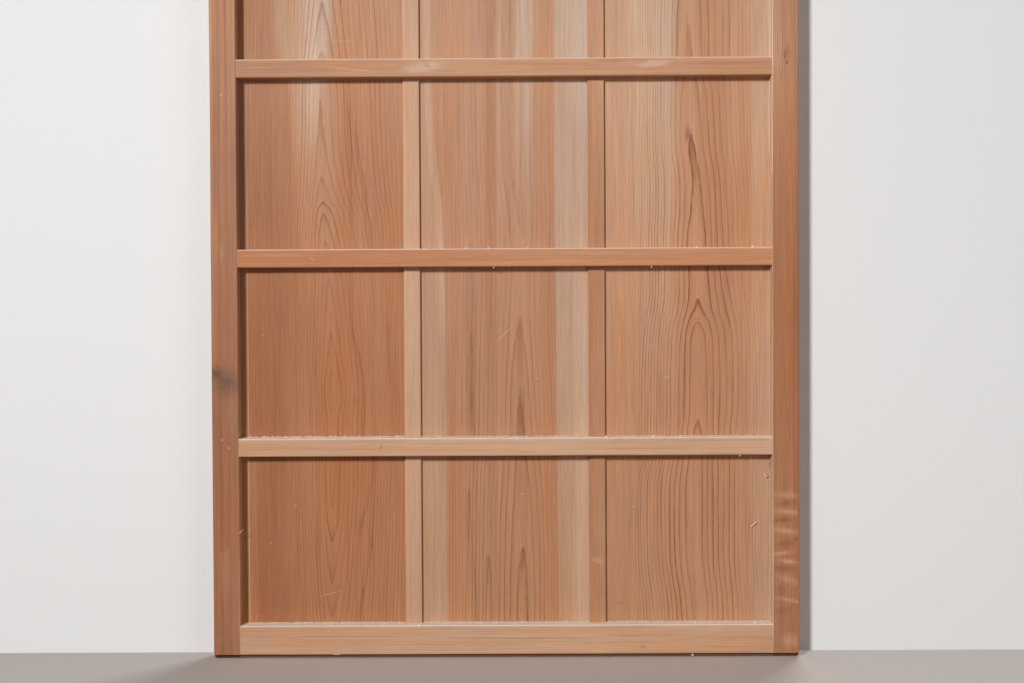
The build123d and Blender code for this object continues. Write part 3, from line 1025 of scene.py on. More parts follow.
    right: WoodFinish = WoodFinish(
        name="right_board_cedar",
        grain=Grain.UPRIGHT,
        rings=Rings(
            middle=(
                (0.0, 0.299), (0.068, 0.2967), (0.128, 0.2900), (0.174, 0.2872), (0.28, 0.2869),
                (0.34, 0.2894), (0.506, 0.2891), (0.547, 0.2905), (0.635, 0.2863), (0.672, 0.2872),
                (0.733, 0.2844), (0.793, 0.2786), (0.921, 0.2782), (1.10, 0.285), (1.40, 0.290),
                (DOOR_TOP, 0.283),
            ),
            depth=(
                (0.0, 1.25), (0.05, 1.08), (0.15, 1.03), (0.28, 1.1), (0.34, 1.7), (0.36, 2.0),
                (0.40, 2.12), (0.45, 2.16), (0.473, 2.24), (0.490, 2.5), (0.506, 3.0), (0.547, 4.0),
                (0.585, 4.03), (0.6215, 4.07), (0.672, 4.52), (0.733, 4.80), (0.770, 4.88), (0.798, 5.0),
                (0.840, 5.25), (0.906, 5.85), (0.966, 6.0), (1.00, 6.2), (1.15, 7.0), (1.35, 6.1),
                (1.55, 4.3), (DOOR_TOP, 3.2),
            ),
            flank=(
                (-0.15, -36.0), (-0.06, -13.2), (-0.0415, -8.4), (-0.018, -3.3), (0.0, 0.0),
                (0.0106, 1.73), (0.032, 4.9), (0.068, 9.8), (0.125, 24.0),
            ),
            left_spread=(
                (0.0, 0.62), (0.07, 0.60), (0.14, 0.56), (0.24, 0.56), (0.32, 0.78), (0.42, 0.80),
                (0.55, 0.95), (0.65, 1.0), (DOOR_TOP, 1.0),
            ),
            right_spread=(
                (0.0, 0.95), (0.33, 0.90), (0.42, 0.78), (0.50, 0.80), (0.57, 0.95), (0.65, 1.0),
                (DOOR_TOP, 1.0),
            ),
            home=0.286,
            near=0.22,
            ripple=0.14,
            roundness=1.8,
            weight=((0.0, 1.1), (1.0, 1.2), (2.0, 1.5), (3.0, 1.5), (4.0, 1.15), (6.0, 1.0), (10.0, 1.0)),
            seed=12.7,
        ),
        tones=(
            (0.0, (0.535, 0.278, 0.157)), (0.177, (0.535, 0.278, 0.157)), (0.461, (0.545, 0.272, 0.149)),
            (0.745, (0.565, 0.295, 0.165)), (0.945, (0.585, 0.335, 0.205)), (1.30, (0.56, 0.29, 0.165)),
            (DOOR_TOP, (0.58, 0.29, 0.17)),
        ),
        bands=(
            Band(
                0.13, 0.190, PALE,
                ((0.0, 0.0), (0.177, 0.0), (0.461, 0.30), (0.745, 0.42), (0.945, 0.38), (DOOR_TOP, 0.4)),
                0.012,
            ),
            Band(0.13, 0.195, DUSKY, ((0.0, 0.3), (0.20, 0.3), (0.42, 0.0), (DOOR_TOP, 0.0)), 0.02),
            Band(
                0.160, 0.186, ORANGE,
                ((0.0, 0.1), (0.35, 0.2), (0.50, 0.5), (0.75, 0.4), (1.0, 0.3), (DOOR_TOP, 0.4)), 0.014,
            ),
            Band(
                0.192, 0.256, PALE,
                (
                    (0.0, 0.0), (0.30, 0.02), (0.461, 0.20), (0.60, 0.38), (0.80, 0.62), (0.96, 0.88),
                    (DOOR_TOP, 0.5),
                ),
                0.022,
            ),
            Band(0.374, 0.42, PALE, ((0.0, 0.55), (0.461, 0.62), (0.945, 0.55), (DOOR_TOP, 0.5)), 0.018),
            Band(
                0.295, 0.341, (0.94, 0.88, 0.83),
                ((0.0, 0.2), (0.3, 0.3), (0.6, 0.6), (0.95, 0.7), (DOOR_TOP, 0.5)), 0.012,
            ),
            Band(0.3995, 0.42, WORN, 0.5, 0.002),
        ),
        late=(0.44, 0.28, 0.20),
        line=(
            (0.0, 0.80), (0.33, 0.80), (0.40, 0.84), (0.60, 0.82), (0.70, 0.74), (1.0, 0.70),
            (DOOR_TOP, 0.9),
        ),
        line_fade=((0.13, 0.25), (0.19, 0.45), (0.22, 1.0), (0.34, 0.95), (0.37, 0.42), (0.42, 0.42)),
        marks=(
            Mark(0.2734, 0.8150, 0.0014, 0.0010, 0.0, BRUISE, 0.75),
            Mark(0.2755, 0.8125, 0.0012, 0.0010, 0.0, BRUISE, 0.75),
            Mark(0.3998, 0.2865, 0.0008, 0.0080, 0.0, (0.16, 0.09, 0.06), 0.8),
            Mark(0.1700, 0.0775, 0.0130, 0.0028, 0.0, (0.40, 0.22, 0.13), 0.5),
            Mark(0.1930, 0.2240, 0.0012, 0.0014, 0.0, SPECK, 0.7),
            Mark(0.1960, 0.7310, 0.0010, 0.0010, 0.0, SPECK, 0.6),
            Mark(0.2775, 0.7870, 0.0062, 0.0170, 4.0, (0.31, 0.135, 0.08), 0.65, 0.2),
            Mark(0.2905, 0.5080, 0.0120, 0.0060, 0.0, (0.36, 0.18, 0.11), 0.45, 0.0),
            Mark(0.2905, 0.4400, 0.0090, 0.0600, 0.0, (0.44, 0.24, 0.155), 0.45, 0.2),
            Mark(0.2440, 0.4200, 0.0060, 0.0010, -25.0, RUBBED, 0.5),
        ),
        ragged=0.002,
        mottle=0.12,
        nail_lines=(0.1387, 0.2081, 0.3441),
        seed=19.0,
    )

    def dress(self) -> None:
        """Give each board its own log's figure."""
        dress("left_board", self.left.make())
        dress("middle_board", self.middle.make())
        dress("right_board", self.right.make())


def straight_rings(centre: float, density: float, tilt: float, face: float, seed: float) -> Rings:
    """Return the rings of a straight-grained piece.

    Args:
        centre: Place of its middle across the grain, in metres.
        density: Rings in a metre across the grain.
        tilt: How far the lines climb from one end of the piece to the other, in metres.
        face: Depth of its front face.
        seed: A shift that makes it another piece.

    Returns:
        Rings whose pith lies well outside the piece.
    """
    away = 0.12
    return Rings(
        middle=((-0.45, centre - away - tilt / 2), (0.2, centre - away), (1.8, centre - away + tilt / 2)),
        depth=((-0.5, 3.0), (1.8, 3.6)),
        flank=((-0.1, -0.1 * density), (0.3, 0.3 * density)),
        home=centre - away,
        near=1.0,
        wander=0.004,
        ripple=0.20,
        face=face,
        seed=seed,
    )


@dataclass
class Frame:
    """The stiles, the top and bottom rails and the cross rails."""

    pitch: float = 0.284
    lowest_line: float = 0.3177
    rail_height: float = 0.027

    def left_stile(self) -> WoodFinish:
        """Return the left stile's wood: handled, with a grey smudge and a worn outer edge."""
        return WoodFinish(
            name="left_stile_cedar",
            grain=Grain.UPRIGHT,
            rings=straight_rings(-0.42, 420.0, 0.02, FRAME_FRONT, 31.0),
            tones=(
                (0.0, (0.374, 0.170, 0.090)), (0.177, (0.357, 0.157, 0.079)),
                (0.32, (0.355, 0.160, 0.087)), (0.461, (0.360, 0.168, 0.093)),
                (0.745, (0.432, 0.214, 0.125)), (0.945, (0.515, 0.270, 0.165)),
                (DOOR_TOP, (0.50, 0.25, 0.15)),
            ),
            bands=(
                Band(-0.45, -0.436, (1.10, 0.98, 0.86), 0.7, 0.004),
                Band(-0.405, -0.395, (1.08, 1.14, 1.18), 0.6, 0.003),
                # Painted light on the stile's inner side face, most strongly low down
                Band(
                    -0.4012, -0.38, (1.7, 2.1, 2.2),
                    ((0.0, 1.0), (0.28, 0.9), (0.45, 0.4), (0.7, 0.1), (1.0, 0.0)), 0.0006,
                ),
                Band(
                    -0.4285, -0.4245, DUSKY, ((0.0, 0.3), (0.5, 0.7), (1.0, 0.5), (DOOR_TOP, 0.6)), 0.002,
                ),
                Band(
                    -0.4410, -0.4360, WORN,
                    ((0.0, 0.4), (0.40, 0.2), (0.55, 0.7), (0.95, 0.9), (DOOR_TOP, 0.6)), 0.0015,
                ),
                Band(
                    -0.4165, -0.4130, DUSKY, ((0.0, 0.5), (0.6, 0.3), (1.0, 0.6), (DOOR_TOP, 0.4)), 0.002,
                ),
            ),
            ragged=0.002,
            line=0.60,
            mottle=0.22,
            marks=(
                Mark(-0.4224, 0.8465, 0.0014, 0.0022, 0.0, DENT, 0.7),
                Mark(-0.4182, 0.8166, 0.0012, 0.0016, 0.0, DENT, 0.7),
                Mark(-0.4253, 0.3300, 0.0026, 0.0030, 30.0, SPLASH, 0.45),
                Mark(-0.4149, 0.3179, 0.0022, 0.0034, -20.0, SPLASH, 0.45),
                Mark(-0.4180, 0.4170, 0.0380, 0.0340, 30.0, (0.140, 0.088, 0.062), 0.92, -0.30),
                Mark(-0.4340, 0.4300, 0.0190, 0.0170, 50.0, (0.11, 0.07, 0.050), 0.80, -0.3),
                Mark(-0.4080, 0.3700, 0.0200, 0.0500, 0.0, (0.36, 0.205, 0.135), 0.60, -0.3),
                Mark(-0.4330, 0.6350, 0.0050, 0.0600, 0.0, (0.55, 0.25, 0.12), 0.45),
                Mark(-0.4240, 0.6100, 0.0030, 0.0200, 0.0, (0.60, 0.32, 0.17), 0.40),
                Mark(-0.4390, 0.8900, 0.0020, 0.0550, 0.0, (0.66, 0.27, 0.11), 0.60),
                Mark(-0.4220, 0.1300, 0.0130, 0.0500, 0.0, (0.46, 0.26, 0.17), 0.35),
                Mark(-0.4300, 0.0300, 0.0090, 0.0100, 0.0, (0.33, 0.18, 0.12), 0.50),
            ),
            face=FRAME_FRONT,
            seed=31.0,
        )

    def right_stile(self) -> WoodFinish:
        """Return the right stile's wood, with a pale strip along its inner edge high up, painted light on
        its inner side face and a rippled figure near its foot.
        """
        pale, dark = (0.74, 0.43, 0.25), (0.24, 0.090, 0.040)
        return WoodFinish(
            name="right_stile_cedar",
            grain=Grain.UPRIGHT,
            rings=straight_rings(0.42, 380.0, -0.02, FRAME_FRONT, 37.0),
            tones=(
                (0.0, (0.47, 0.24, 0.14)), (0.177, (0.435, 0.205, 0.107)), (0.461, (0.418, 0.183, 0.089)),
                (0.745, (0.464, 0.205, 0.101)), (0.945, (0.549, 0.304, 0.183)),
                (DOOR_TOP, (0.53, 0.26, 0.15)),
            ),
            bands=(
                # Painted light on the stile's inner side face, which faces the key lamp, over wood that is
                # paler there
                Band(0.380, 0.4013, (1.55, 2.50, 3.40), 0.85, 0.001),
                Band(
                    0.4006, 0.4155, (1.06, 1.12, 1.16),
                    ((0.0, 0.0), (0.870, 0.0), (0.892, 0.9), (DOOR_TOP, 0.9)), 0.001,
                ),
                Band(
                    0.4152, 0.4166, DUSKY, ((0.0, 0.0), (0.870, 0.0), (0.880, 1.0), (DOOR_TOP, 1.0)),
                    0.0008,
                ),
                Band(
                    0.4310, 0.450, (0.92, 0.86, 0.86),
                    ((0.0, 0.4), (0.4, 0.9), (1.0, 0.6), (DOOR_TOP, 0.6)), 0.006,
                ),
                Band(0.4180, 0.430, (1.06, 0.98, 0.90), ((0.0, 0.5), (DOOR_TOP, 0.6)), 0.006),
            ),
            ragged=0.0015,
            line=0.62,
            mottle=0.20,
            marks=(
                Mark(0.4195, 0.9020, 0.0022, 0.0120, 0.0, (0.22, 0.12, 0.075), 0.75),
                Mark(0.4225, 0.8900, 0.0026, 0.0034, 0.0, (0.16, 0.09, 0.06), 0.7),
                Mark(0.4230, 0.9040, 0.0080, 0.0230, 0.0, (0.34, 0.18, 0.11), 0.60, -0.2),
                Mark(0.4200, 0.2440, 0.0360, 0.0085, 5.0, pale, 0.45, -0.3),
                Mark(0.4200, 0.2310, 0.0230, 0.0070, -6.0, dark, 0.60, -0.3),
                Mark(0.4230, 0.2185, 0.0340, 0.0070, 4.0, pale, 0.60, -0.3),
                Mark(0.4150, 0.2060, 0.0260, 0.0070, -3.0, dark, 0.75, -0.3),
                Mark(0.4200, 0.1900, 0.0340, 0.0085, 9.0, pale, 0.60, -0.3),
                Mark(0.4200, 0.1710, 0.0250, 0.0090, -4.0, dark, 0.60, -0.3),
                Mark(0.4353, 0.1767, 0.0028, 0.0022, 0.0, (0.13, 0.07, 0.045), 0.85),
                Mark(0.4120, 0.1560, 0.0300, 0.0055, -9.0, pale, 0.55, -0.3),
                Mark(0.4230, 0.1440, 0.0230, 0.0055, 6.0, (0.72, 0.44, 0.28), 0.75, -0.3),
                Mark(0.4180, 0.1335, 0.0250, 0.0075, 4.0, dark, 0.65, -0.3),
                Mark(0.4240, 0.1160, 0.0300, 0.0100, 16.0, pale, 0.42, -0.3),
                Mark(0.4120, 0.1000, 0.0140, 0.0150, -30.0, dark, 0.45, -0.3),
                Mark(0.4240, 0.0860, 0.0320, 0.0055, 11.0, pale, 0.50, -0.3),
                Mark(0.4160, 0.0700, 0.0200, 0.0090, -12.0, dark, 0.50, -0.3),
                Mark(0.4260, 0.0250, 0.0220, 0.0160, 0.0, pale, 0.55, -0.3),
                Mark(0.4360, 0.0830, 0.0012, 0.0010, 0.0, (0.86, 0.70, 0.58), 0.80),
            ),
            face=FRAME_FRONT,
            seed=37.0,
        )

    def rail(
        self, name: str, foot: float, head: float, density: float, seed: float, line: float,
        tones: tuple[tuple[float, Triple], ...], marks: tuple[Mark, ...] = (), dust: float = 0.92,
    ) -> WoodFinish:
        """Return a rail's wood, with a worn upper edge, painted shade along its lower edge and dust on top.

        Args:
            name: The material's name.
            foot: Height of the rail's lower edge.
            head: Height of its upper edge.
            density: Rings in a metre across the grain.
            seed: A shift that makes it another piece.
            line: How strong the latewood lines are.
            tones: Colours along the rail.
            marks: Stains and patches on its face.
            dust: How thickly dust lies on its top.

        Returns:
            The finish.
        """
        return WoodFinish(
            name=name,
            grain=Grain.LEVEL,
            rings=straight_rings((foot + head) / 2, density, 0.012, RAIL_FACE, seed),
            tones=tones,
            bands=(
                Band(head - 0.0022, head + 0.002, WORN, 0.85, 0.0012),
                # Painted shade along the rail's lower edge and its underside
                Band(foot - 0.002, foot + 0.0018, (0.86, 0.78, 0.72), 0.8, 0.0016),
                Band(foot + 0.30 * (head - foot), foot + 0.52 * (head - foot), (0.97, 0.92, 0.87),
                     ((-0.4, 0.2), (-0.1, 0.8), (0.1, 0.4), (0.4, 0.9)), 0.004),
            ),
            ragged=0.0009,
            line=line,
            mottle=0.14,
            marks=marks,
            face=RAIL_FACE,
            dust=dust,
            seed=seed,
        )

    def dress(self) -> None:
        """Give every member of the frame its own stick of wood."""
        dress("left_stile", self.left_stile().make())
        dress("right_stile", self.right_stile().make())
        dress("bottom_rail", self.rail(
            "bottom_rail_cedar", 0.006, BOTTOM_RAIL_TOP, 260.0, 41.0, 0.23,
            (
                (-0.44, (0.588, 0.353, 0.23)), (-0.2, (0.617, 0.377, 0.248)), (0.1, (0.65, 0.397, 0.25)),
                (0.44, (0.618, 0.361, 0.227)),
            ),
            (
                Mark(0.010, 0.0300, 0.1700, 0.0016, 0.3, (0.42, 0.19, 0.10), 0.55),
                Mark(-0.230, 0.0330, 0.1300, 0.0013, 0.4, (0.42, 0.20, 0.11), 0.45),
                Mark(0.200, 0.0335, 0.1000, 0.0020, -0.4, (0.46, 0.20, 0.12), 0.40),
                Mark(0.205, 0.0160, 0.0060, 0.0030, 30.0, (0.44, 0.20, 0.11), 0.50),
                Mark(0.290, 0.0210, 0.1000, 0.0060, 0.0, (0.68, 0.38, 0.21), 0.40),
                Mark(-0.020, 0.0100, 0.1500, 0.0022, 0.0, (0.72, 0.45, 0.29), 0.40),
                Mark(-0.370, 0.0120, 0.0500, 0.0030, 0.0, (0.66, 0.40, 0.26), 0.40),
            ),
        ).make())
        dress("top_rail", self.rail(
            "top_rail_cedar", 1.7242, 1.757, 300.0, 43.0, 0.42,
            ((-0.44, (0.57, 0.30, 0.18)), (0.0, (0.60, 0.33, 0.20)), (0.44, (0.56, 0.30, 0.18))),
            dust=0.45,
        ).make())
        tones = (
            (
                (-0.44, (0.588, 0.342, 0.217)), (-0.2, (0.61, 0.367, 0.239)),
                (0.0, (0.635, 0.422, 0.295)), (0.44, (0.657, 0.393, 0.244)),
            ),
            (
                (-0.44, (0.498, 0.223, 0.117)), (-0.15, (0.54, 0.250, 0.132)),
                (0.0, (0.594, 0.283, 0.149)), (0.44, (0.60, 0.306, 0.169)),
            ),
            (
                (-0.44, (0.484, 0.260, 0.155)), (-0.2, (0.516, 0.294, 0.185)),
                (0.0, (0.604, 0.342, 0.208)), (0.44, (0.564, 0.288, 0.161)),
            ),
            ((-0.44, (0.56, 0.29, 0.17)), (0.44, (0.60, 0.32, 0.19))),
            ((-0.44, (0.58, 0.31, 0.18)), (0.44, (0.56, 0.29, 0.17))),
        )
        marks = (
            (
                Mark(-0.1866, 0.3168, 0.0015, 0.0070, 20.0, (0.30, 0.15, 0.09), 0.55),
                Mark(0.0220, 0.3189, 0.0014, 0.0012, 0.0, (0.16, 0.10, 0.08), 0.75),
                Mark(0.3300, 0.3060, 0.0700, 0.0020, 0.0, (0.45, 0.20, 0.11), 0.45),
                Mark(-0.0300, 0.3230, 0.1200, 0.0025, 0.2, (0.50, 0.26, 0.16), 0.35),
                Mark(0.2000, 0.3140, 0.1200, 0.0014, -0.2, (0.50, 0.25, 0.14), 0.35),
            ),
            (
                Mark(-0.2882, 0.6008, 0.0060, 0.0012, 35.0, (0.72, 0.46, 0.33), 0.50),
                Mark(-0.0500, 0.5990, 0.1500, 0.0026, 0.6, (0.50, 0.20, 0.10), 0.40),
                Mark(0.2700, 0.6050, 0.1100, 0.0020, -0.5, (0.50, 0.22, 0.11), 0.40),
                Mark(-0.3300, 0.6060, 0.0700, 0.0030, 0.0, (0.62, 0.33, 0.20), 0.35),
                Mark(0.1200, 0.6080, 0.0900, 0.0025, 0.8, (0.66, 0.36, 0.20), 0.40),
            ),
            (
                Mark(-0.1200, 0.8860, 0.0420, 0.0110, -8.0, (0.68, 0.47, 0.36), 0.60),
                Mark(-0.1150, 0.8885, 0.0090, 0.0024, 12.0, (0.34, 0.22, 0.17), 0.50),
                Mark(-0.1450, 0.8930, 0.0060, 0.0060, 40.0, (0.52, 0.33, 0.24), 0.40),
                Mark(0.2250, 0.8900, 0.0330, 0.0070, -5.0, (0.70, 0.48, 0.36), 0.60),
                Mark(0.0700, 0.8900, 0.1150, 0.0034, 0.4, (0.52, 0.22, 0.10), 0.50),
                Mark(0.1600, 0.8935, 0.0300, 0.0028, 0.0, (0.48, 0.22, 0.11), 0.50),
                Mark(0.3300, 0.8895, 0.0850, 0.0042, -0.4, (0.48, 0.205, 0.095), 0.55),
                Mark(-0.3200, 0.8930, 0.0600, 0.0034, -3.0, (0.46, 0.225, 0.12), 0.45),
                Mark(-0.2300, 0.8840, 0.0600, 0.0030, 6.0, (0.66, 0.37, 0.22), 0.50),
            ),
            (),
            (),
        )
        for index, (tone, mark) in enumerate(zip(tones, marks)):
            centre = self.lowest_line + index * self.pitch
            foot, head = centre - self.rail_height / 2, centre + self.rail_height / 2
            finish = self.rail(
                f"cross_rail_{index + 1}_cedar", foot, head, 330.0 + 30.0 * index, 50.0 + 4.0 * index,
                (0.36, 0.34, 0.31, 0.36, 0.36)[index], tone, mark,
            )
            dress(f"cross_rail_{index + 1}", finish.make())


WAVY_EDGE = (
    (0.05, 0.1330), (0.30, 0.1345), (0.42, 0.1300), (0.50, 0.1340), (0.58, 0.1310), (0.9, 0.1330),
)


@dataclass
class CoverStrips:
    """The two thin strips over the board joints."""

    def dress(self) -> None:
        """Give each strip its wood, the left one pale and the right one darker with a wavy edge."""
        dress("left_strip", WoodFinish(
            name="left_strip_cedar", grain=Grain.UPRIGHT,
            rings=straight_rings(-0.14, 500.0, 0.02, STRIP_FACE, 61.0),
            tones=(
                (0.0, (0.57, 0.335, 0.216)), (0.177, (0.57, 0.335, 0.216)), (0.461, (0.62, 0.38, 0.25)),
                (0.745, (0.60, 0.37, 0.245)), (0.945, (0.65, 0.405, 0.272)),
                (DOOR_TOP, (0.60, 0.36, 0.24)),
            ),
            bands=(
                Band(-0.153, -0.147, (1.06, 1.10, 1.10), 0.6, 0.002),
                Band(-0.131, -0.126, (0.95, 0.92, 0.9), 0.7, 0.003),
            ),
            ragged=0.001, line=0.24, mottle=0.10, face=STRIP_FACE, dust=0.6, seed=61.0,
        ).make())
        dress("right_strip", WoodFinish(
            name="right_strip_cedar", grain=Grain.UPRIGHT,
            rings=straight_rings(0.139, 450.0, 0.02, STRIP_FACE, 67.0),
            tones=(
                (0.0, (0.524, 0.266, 0.144)), (0.177, (0.524, 0.266, 0.144)),
                (0.461, (0.467, 0.232, 0.128)), (0.745, (0.520, 0.256, 0.143)),
                (0.945, (0.605, 0.341, 0.21)), (DOOR_TOP, (0.58, 0.30, 0.18)),
            ),
            bands=(
                Band(0.126, WAVY_EDGE, (0.93, 0.88, 0.84), 0.6, 0.0015),
                Band(0.1455, 0.153, (1.05, 1.08, 1.08), 0.5, 0.003),
            ),
            ragged=0.001, line=0.34, mottle=0.14, face=STRIP_FACE, dust=0.6, seed=67.0,
            marks=(Mark(0.139, 0.143, 0.013, 0.0060, 15.0, (0.66, 0.38, 0.24), 0.45),),
        ).make())


@dataclass
class Fixings:
    """The wedges that lock the through tenons, and the nails in the boards."""

    wedge: WoodFinish = WoodFinish(
        name="tenon_wedge_cedar", grain=Grain.LEVEL, rings=straight_rings(0.02, 420.0, 0.0, 0.0, 71.0),
        tones=((-0.5, (0.42, 0.22, 0.125)), (0.5, (0.42, 0.22, 0.125))), line=0.4, seed=71.0,
    )
    nail: NailFinish = NailFinish()

    def dress(self) -> None:
        """Give the wedges and the nails their materials."""
        dress("tenon_wedges", self.wedge.make())
        dress("board_nails", self.nail.make())


@dataclass
class Litter:
    """Lint, crumbs, banks of dust, shavings and splinters that have gathered on the door.

    Attributes:
        lint: Tufts that stand on the rails, as (x, height of the rail's top, size).
        hanging: Threads under the rails, as (x, height of the rail's foot, length).
        tops: Upper faces with crumbs on them, as (height, number of crumbs).
        rolls: Rolled shavings against the right board, as (place, length, radius, lean in degrees).
        splinters: Splinters, as (start, heading, length, half thickness).
        banks: Dust against the boards, as (left end, right end, height of the rail's top, height).
        stuck_crumb: Place of the crumb at the door's foot.
        stuck_radius: Its radius.
        tuft_threads: Threads in a tuft.
        tuft_thick: Half their thickness.
        hanging_threads: Threads at each place under a rail.
        hanging_thick: Half their thickness.
        bank_depth: How far a bank of dust reaches from the board.
        bank_cuts: How many times it is cut across.
        sunk: How far it is sunk into the rail, and how far it stands off the board.
        bank_edge: Its height at its front edge.
        shaving_thick: Thickness of a shaving.
        shaving_turn: How far a shaving is rolled up, in degrees.
        rank_step: More corners than any piece has.
        seed: Where the unevenness starts from.
    """

    lint: tuple[Triple, ...] = (
        (-0.0573, SECOND_RAIL_TOP, 0.0024), (-0.0244, SECOND_RAIL_TOP, 0.0018),
        (0.0340, SECOND_RAIL_TOP, 0.0018), (0.2882, SECOND_RAIL_TOP, 0.0026),
        (0.3719, SECOND_RAIL_TOP, 0.0032), (-0.3563, FIRST_RAIL_TOP, 0.0022),
        (-0.2700, FIRST_RAIL_TOP, 0.0018), (-0.1880, FIRST_RAIL_TOP, 0.0026),
        (0.0176, FIRST_RAIL_TOP, 0.0022), (0.1524, FIRST_RAIL_TOP, 0.0030),
        (0.2221, FIRST_RAIL_TOP, 0.0046), (0.2856, BOTTOM_RAIL_TOP, 0.0024),
        (0.2910, BOTTOM_RAIL_TOP, 0.0018), (0.3750, BOTTOM_RAIL_TOP, 0.0030),
        (-0.1300, BOTTOM_RAIL_TOP, 0.0024),
    )
    hanging: tuple[Triple, ...] = (
        (-0.0156, 0.5882, 0.0036), (0.2208, 0.5882, 0.0042), (0.3518, 0.3042, 0.0030),
    )
    tops: tuple[tuple[float, int], ...] = (
        (SECOND_RAIL_TOP, 40), (FIRST_RAIL_TOP, 60), (BOTTOM_RAIL_TOP, 70),
    )
    rolls: tuple[tuple[Triple, float, float, float], ...] = (
        ((0.3746, 0.0049, 0.1961), 0.0105, 0.0015, 48.0),
        ((0.3938, 0.0046, 0.2710), 0.0066, 0.0018, -35.0),
    )
    splinters: tuple[tuple[Triple, Triple, float, float], ...] = (
        ((-0.4012, -0.0148, 0.1892), (0.75, -0.05, 0.65), 0.0088, 0.0007),
        ((-0.2600, -0.0156, 0.0062), (1.0, 0.02, -0.10), 0.0110, 0.0007),
    )
    banks: tuple[tuple[float, float, float, float], ...] = (
        (-0.3995, -0.1525, FIRST_RAIL_TOP, 0.0019), (-0.1273, 0.1260, FIRST_RAIL_TOP, 0.0011),
        (0.1513, 0.3995, FIRST_RAIL_TOP, 0.0010), (-0.3995, -0.1525, BOTTOM_RAIL_TOP, 0.0010),
        (-0.1273, 0.1260, BOTTOM_RAIL_TOP, 0.0009), (0.1513, 0.3995, BOTTOM_RAIL_TOP, 0.0010),
    )
    stuck_crumb: Triple = (0.2805, -0.0118, 0.0026)
    stuck_radius: float = 0.0020
    tuft_threads: int = 11
    tuft_thick: float = 0.00032
    hanging_threads: int = 3
    hanging_thick: float = 0.00030
    bank_depth: float = 0.011
    bank_cuts: int = 90
    sunk: float = 0.00005
    bank_edge: float = 0.0001
    shaving_thick: float = 0.00022
    shaving_turn: float = 285.0
    rank_step: float = 1.0e5
    seed: int = 11

    def thread(self, mesh: bmesh.types.BMesh, start: Vector, heading: Vector, length: float, thick: float,
               bend: float) -> None:
        """Add a closed thread that bends evenly.

        Args:
            mesh: The mesh that gets it.
            start: Its foot.
            heading: Its direction at the foot.
            length: Its length.
            thick: Its half thickness.
            bend: How far it turns over its length, in radians, and not 0.
        """
        turn = Matrix.Translation(start) @ heading.to_track_quat("Z", "Y").to_matrix().to_4x4()
        disc = bmesh.ops.create_circle(mesh, cap_ends=True, segments=6, radius=thick, matrix=turn)
        face = disc["verts"][0].link_faces[0]
        bmesh.ops.spin(
            mesh, geom=[face, *face.edges, *face.verts], cent=turn @ Vector((length / bend, 0.0, 0.0)),
            axis=turn.to_3x3() @ Vector((0.0, 1.0, 0.0)), angle=bend, steps=5, use_merge=False,
        )

    def splinter(
        self, mesh: bmesh.types.BMesh, start: Vector, heading: Vector, length: float, thick: float,
    ) -> None:
        """Add a straight, pointed splinter.

        Args:
            mesh: The mesh that gets it.
            start: Its foot.
            heading: Its direction.
            length: Its length.
            thick: Its half thickness at the foot.
        """
        turn = Matrix.Translation(start) @ heading.to_track_quat("Z", "Y").to_matrix().to_4x4()
        bmesh.ops.create_cone(
            mesh, cap_ends=True, segments=6, radius1=thick, radius2=thick * 0.3, depth=length,
            matrix=turn @ Matrix.Translation((0.0, 0.0, length / 2)),
        )

    def crumb(self, mesh: bmesh.types.BMesh, dice: random.Random, place: Vector, radius: float) -> None:
        """Add an uneven crumb.

        Args:
            mesh: The mesh that gets it.
            dice: Where its unevenness comes from.
            place: Its middle.
            radius: Its mean radius.
        """
        ball = bmesh.ops.create_icosphere(
            mesh, subdivisions=1, radius=radius, matrix=Matrix.Translation(place),
        )
        for corner in ball["verts"]:
            corner.co = place + (corner.co - place) * dice.uniform(0.7, 1.25)

    def bank(self, mesh: bmesh.types.BMesh, dice: random.Random, left: float, right: float, top: float,
             height: float) -> None:
        """Add a low, uneven bank of dust in the corner between a rail's top and a board.

        Args:
            mesh: The mesh that gets it.
            dice: Where its unevenness comes from.
            left: Its left end.
            right: Its right end.
            top: Height of the rail's top.
            height: The bank's mean height against the board.
        """
        rear, depth, start = BOARD_FACE - self.sunk, self.bank_depth, len(mesh.verts)
        box = Matrix.Translation(((left + right) / 2, rear - depth / 2, top + height / 2))
        size = Matrix.Diagonal((right - left, depth, height, 1.0))
        cube = bmesh.ops.create_cube(mesh, size=1.0, matrix=box @ size)
        edges = dict.fromkeys(edge for corner in cube["verts"] for edge in corner.link_edges)
        long_edges = [edge for edge in edges if abs(edge.verts[0].co.x - edge.verts[1].co.x) > 0.1]
        bmesh.ops.subdivide_edges(mesh, edges=long_edges, cuts=self.bank_cuts, use_grid_fill=True)
        mesh.verts.ensure_lookup_table()
        for corner in mesh.verts[start:]:
            at_rear = corner.co.y > rear - depth / 2
            if corner.co.z < top + height / 2:
                corner.co.z = top - self.sunk
            else:
                corner.co.z = top + (height * dice.uniform(0.45, 1.45) if at_rear else self.bank_edge)
            if not at_rear:
                corner.co.y += dice.uniform(-0.001, 0.003)

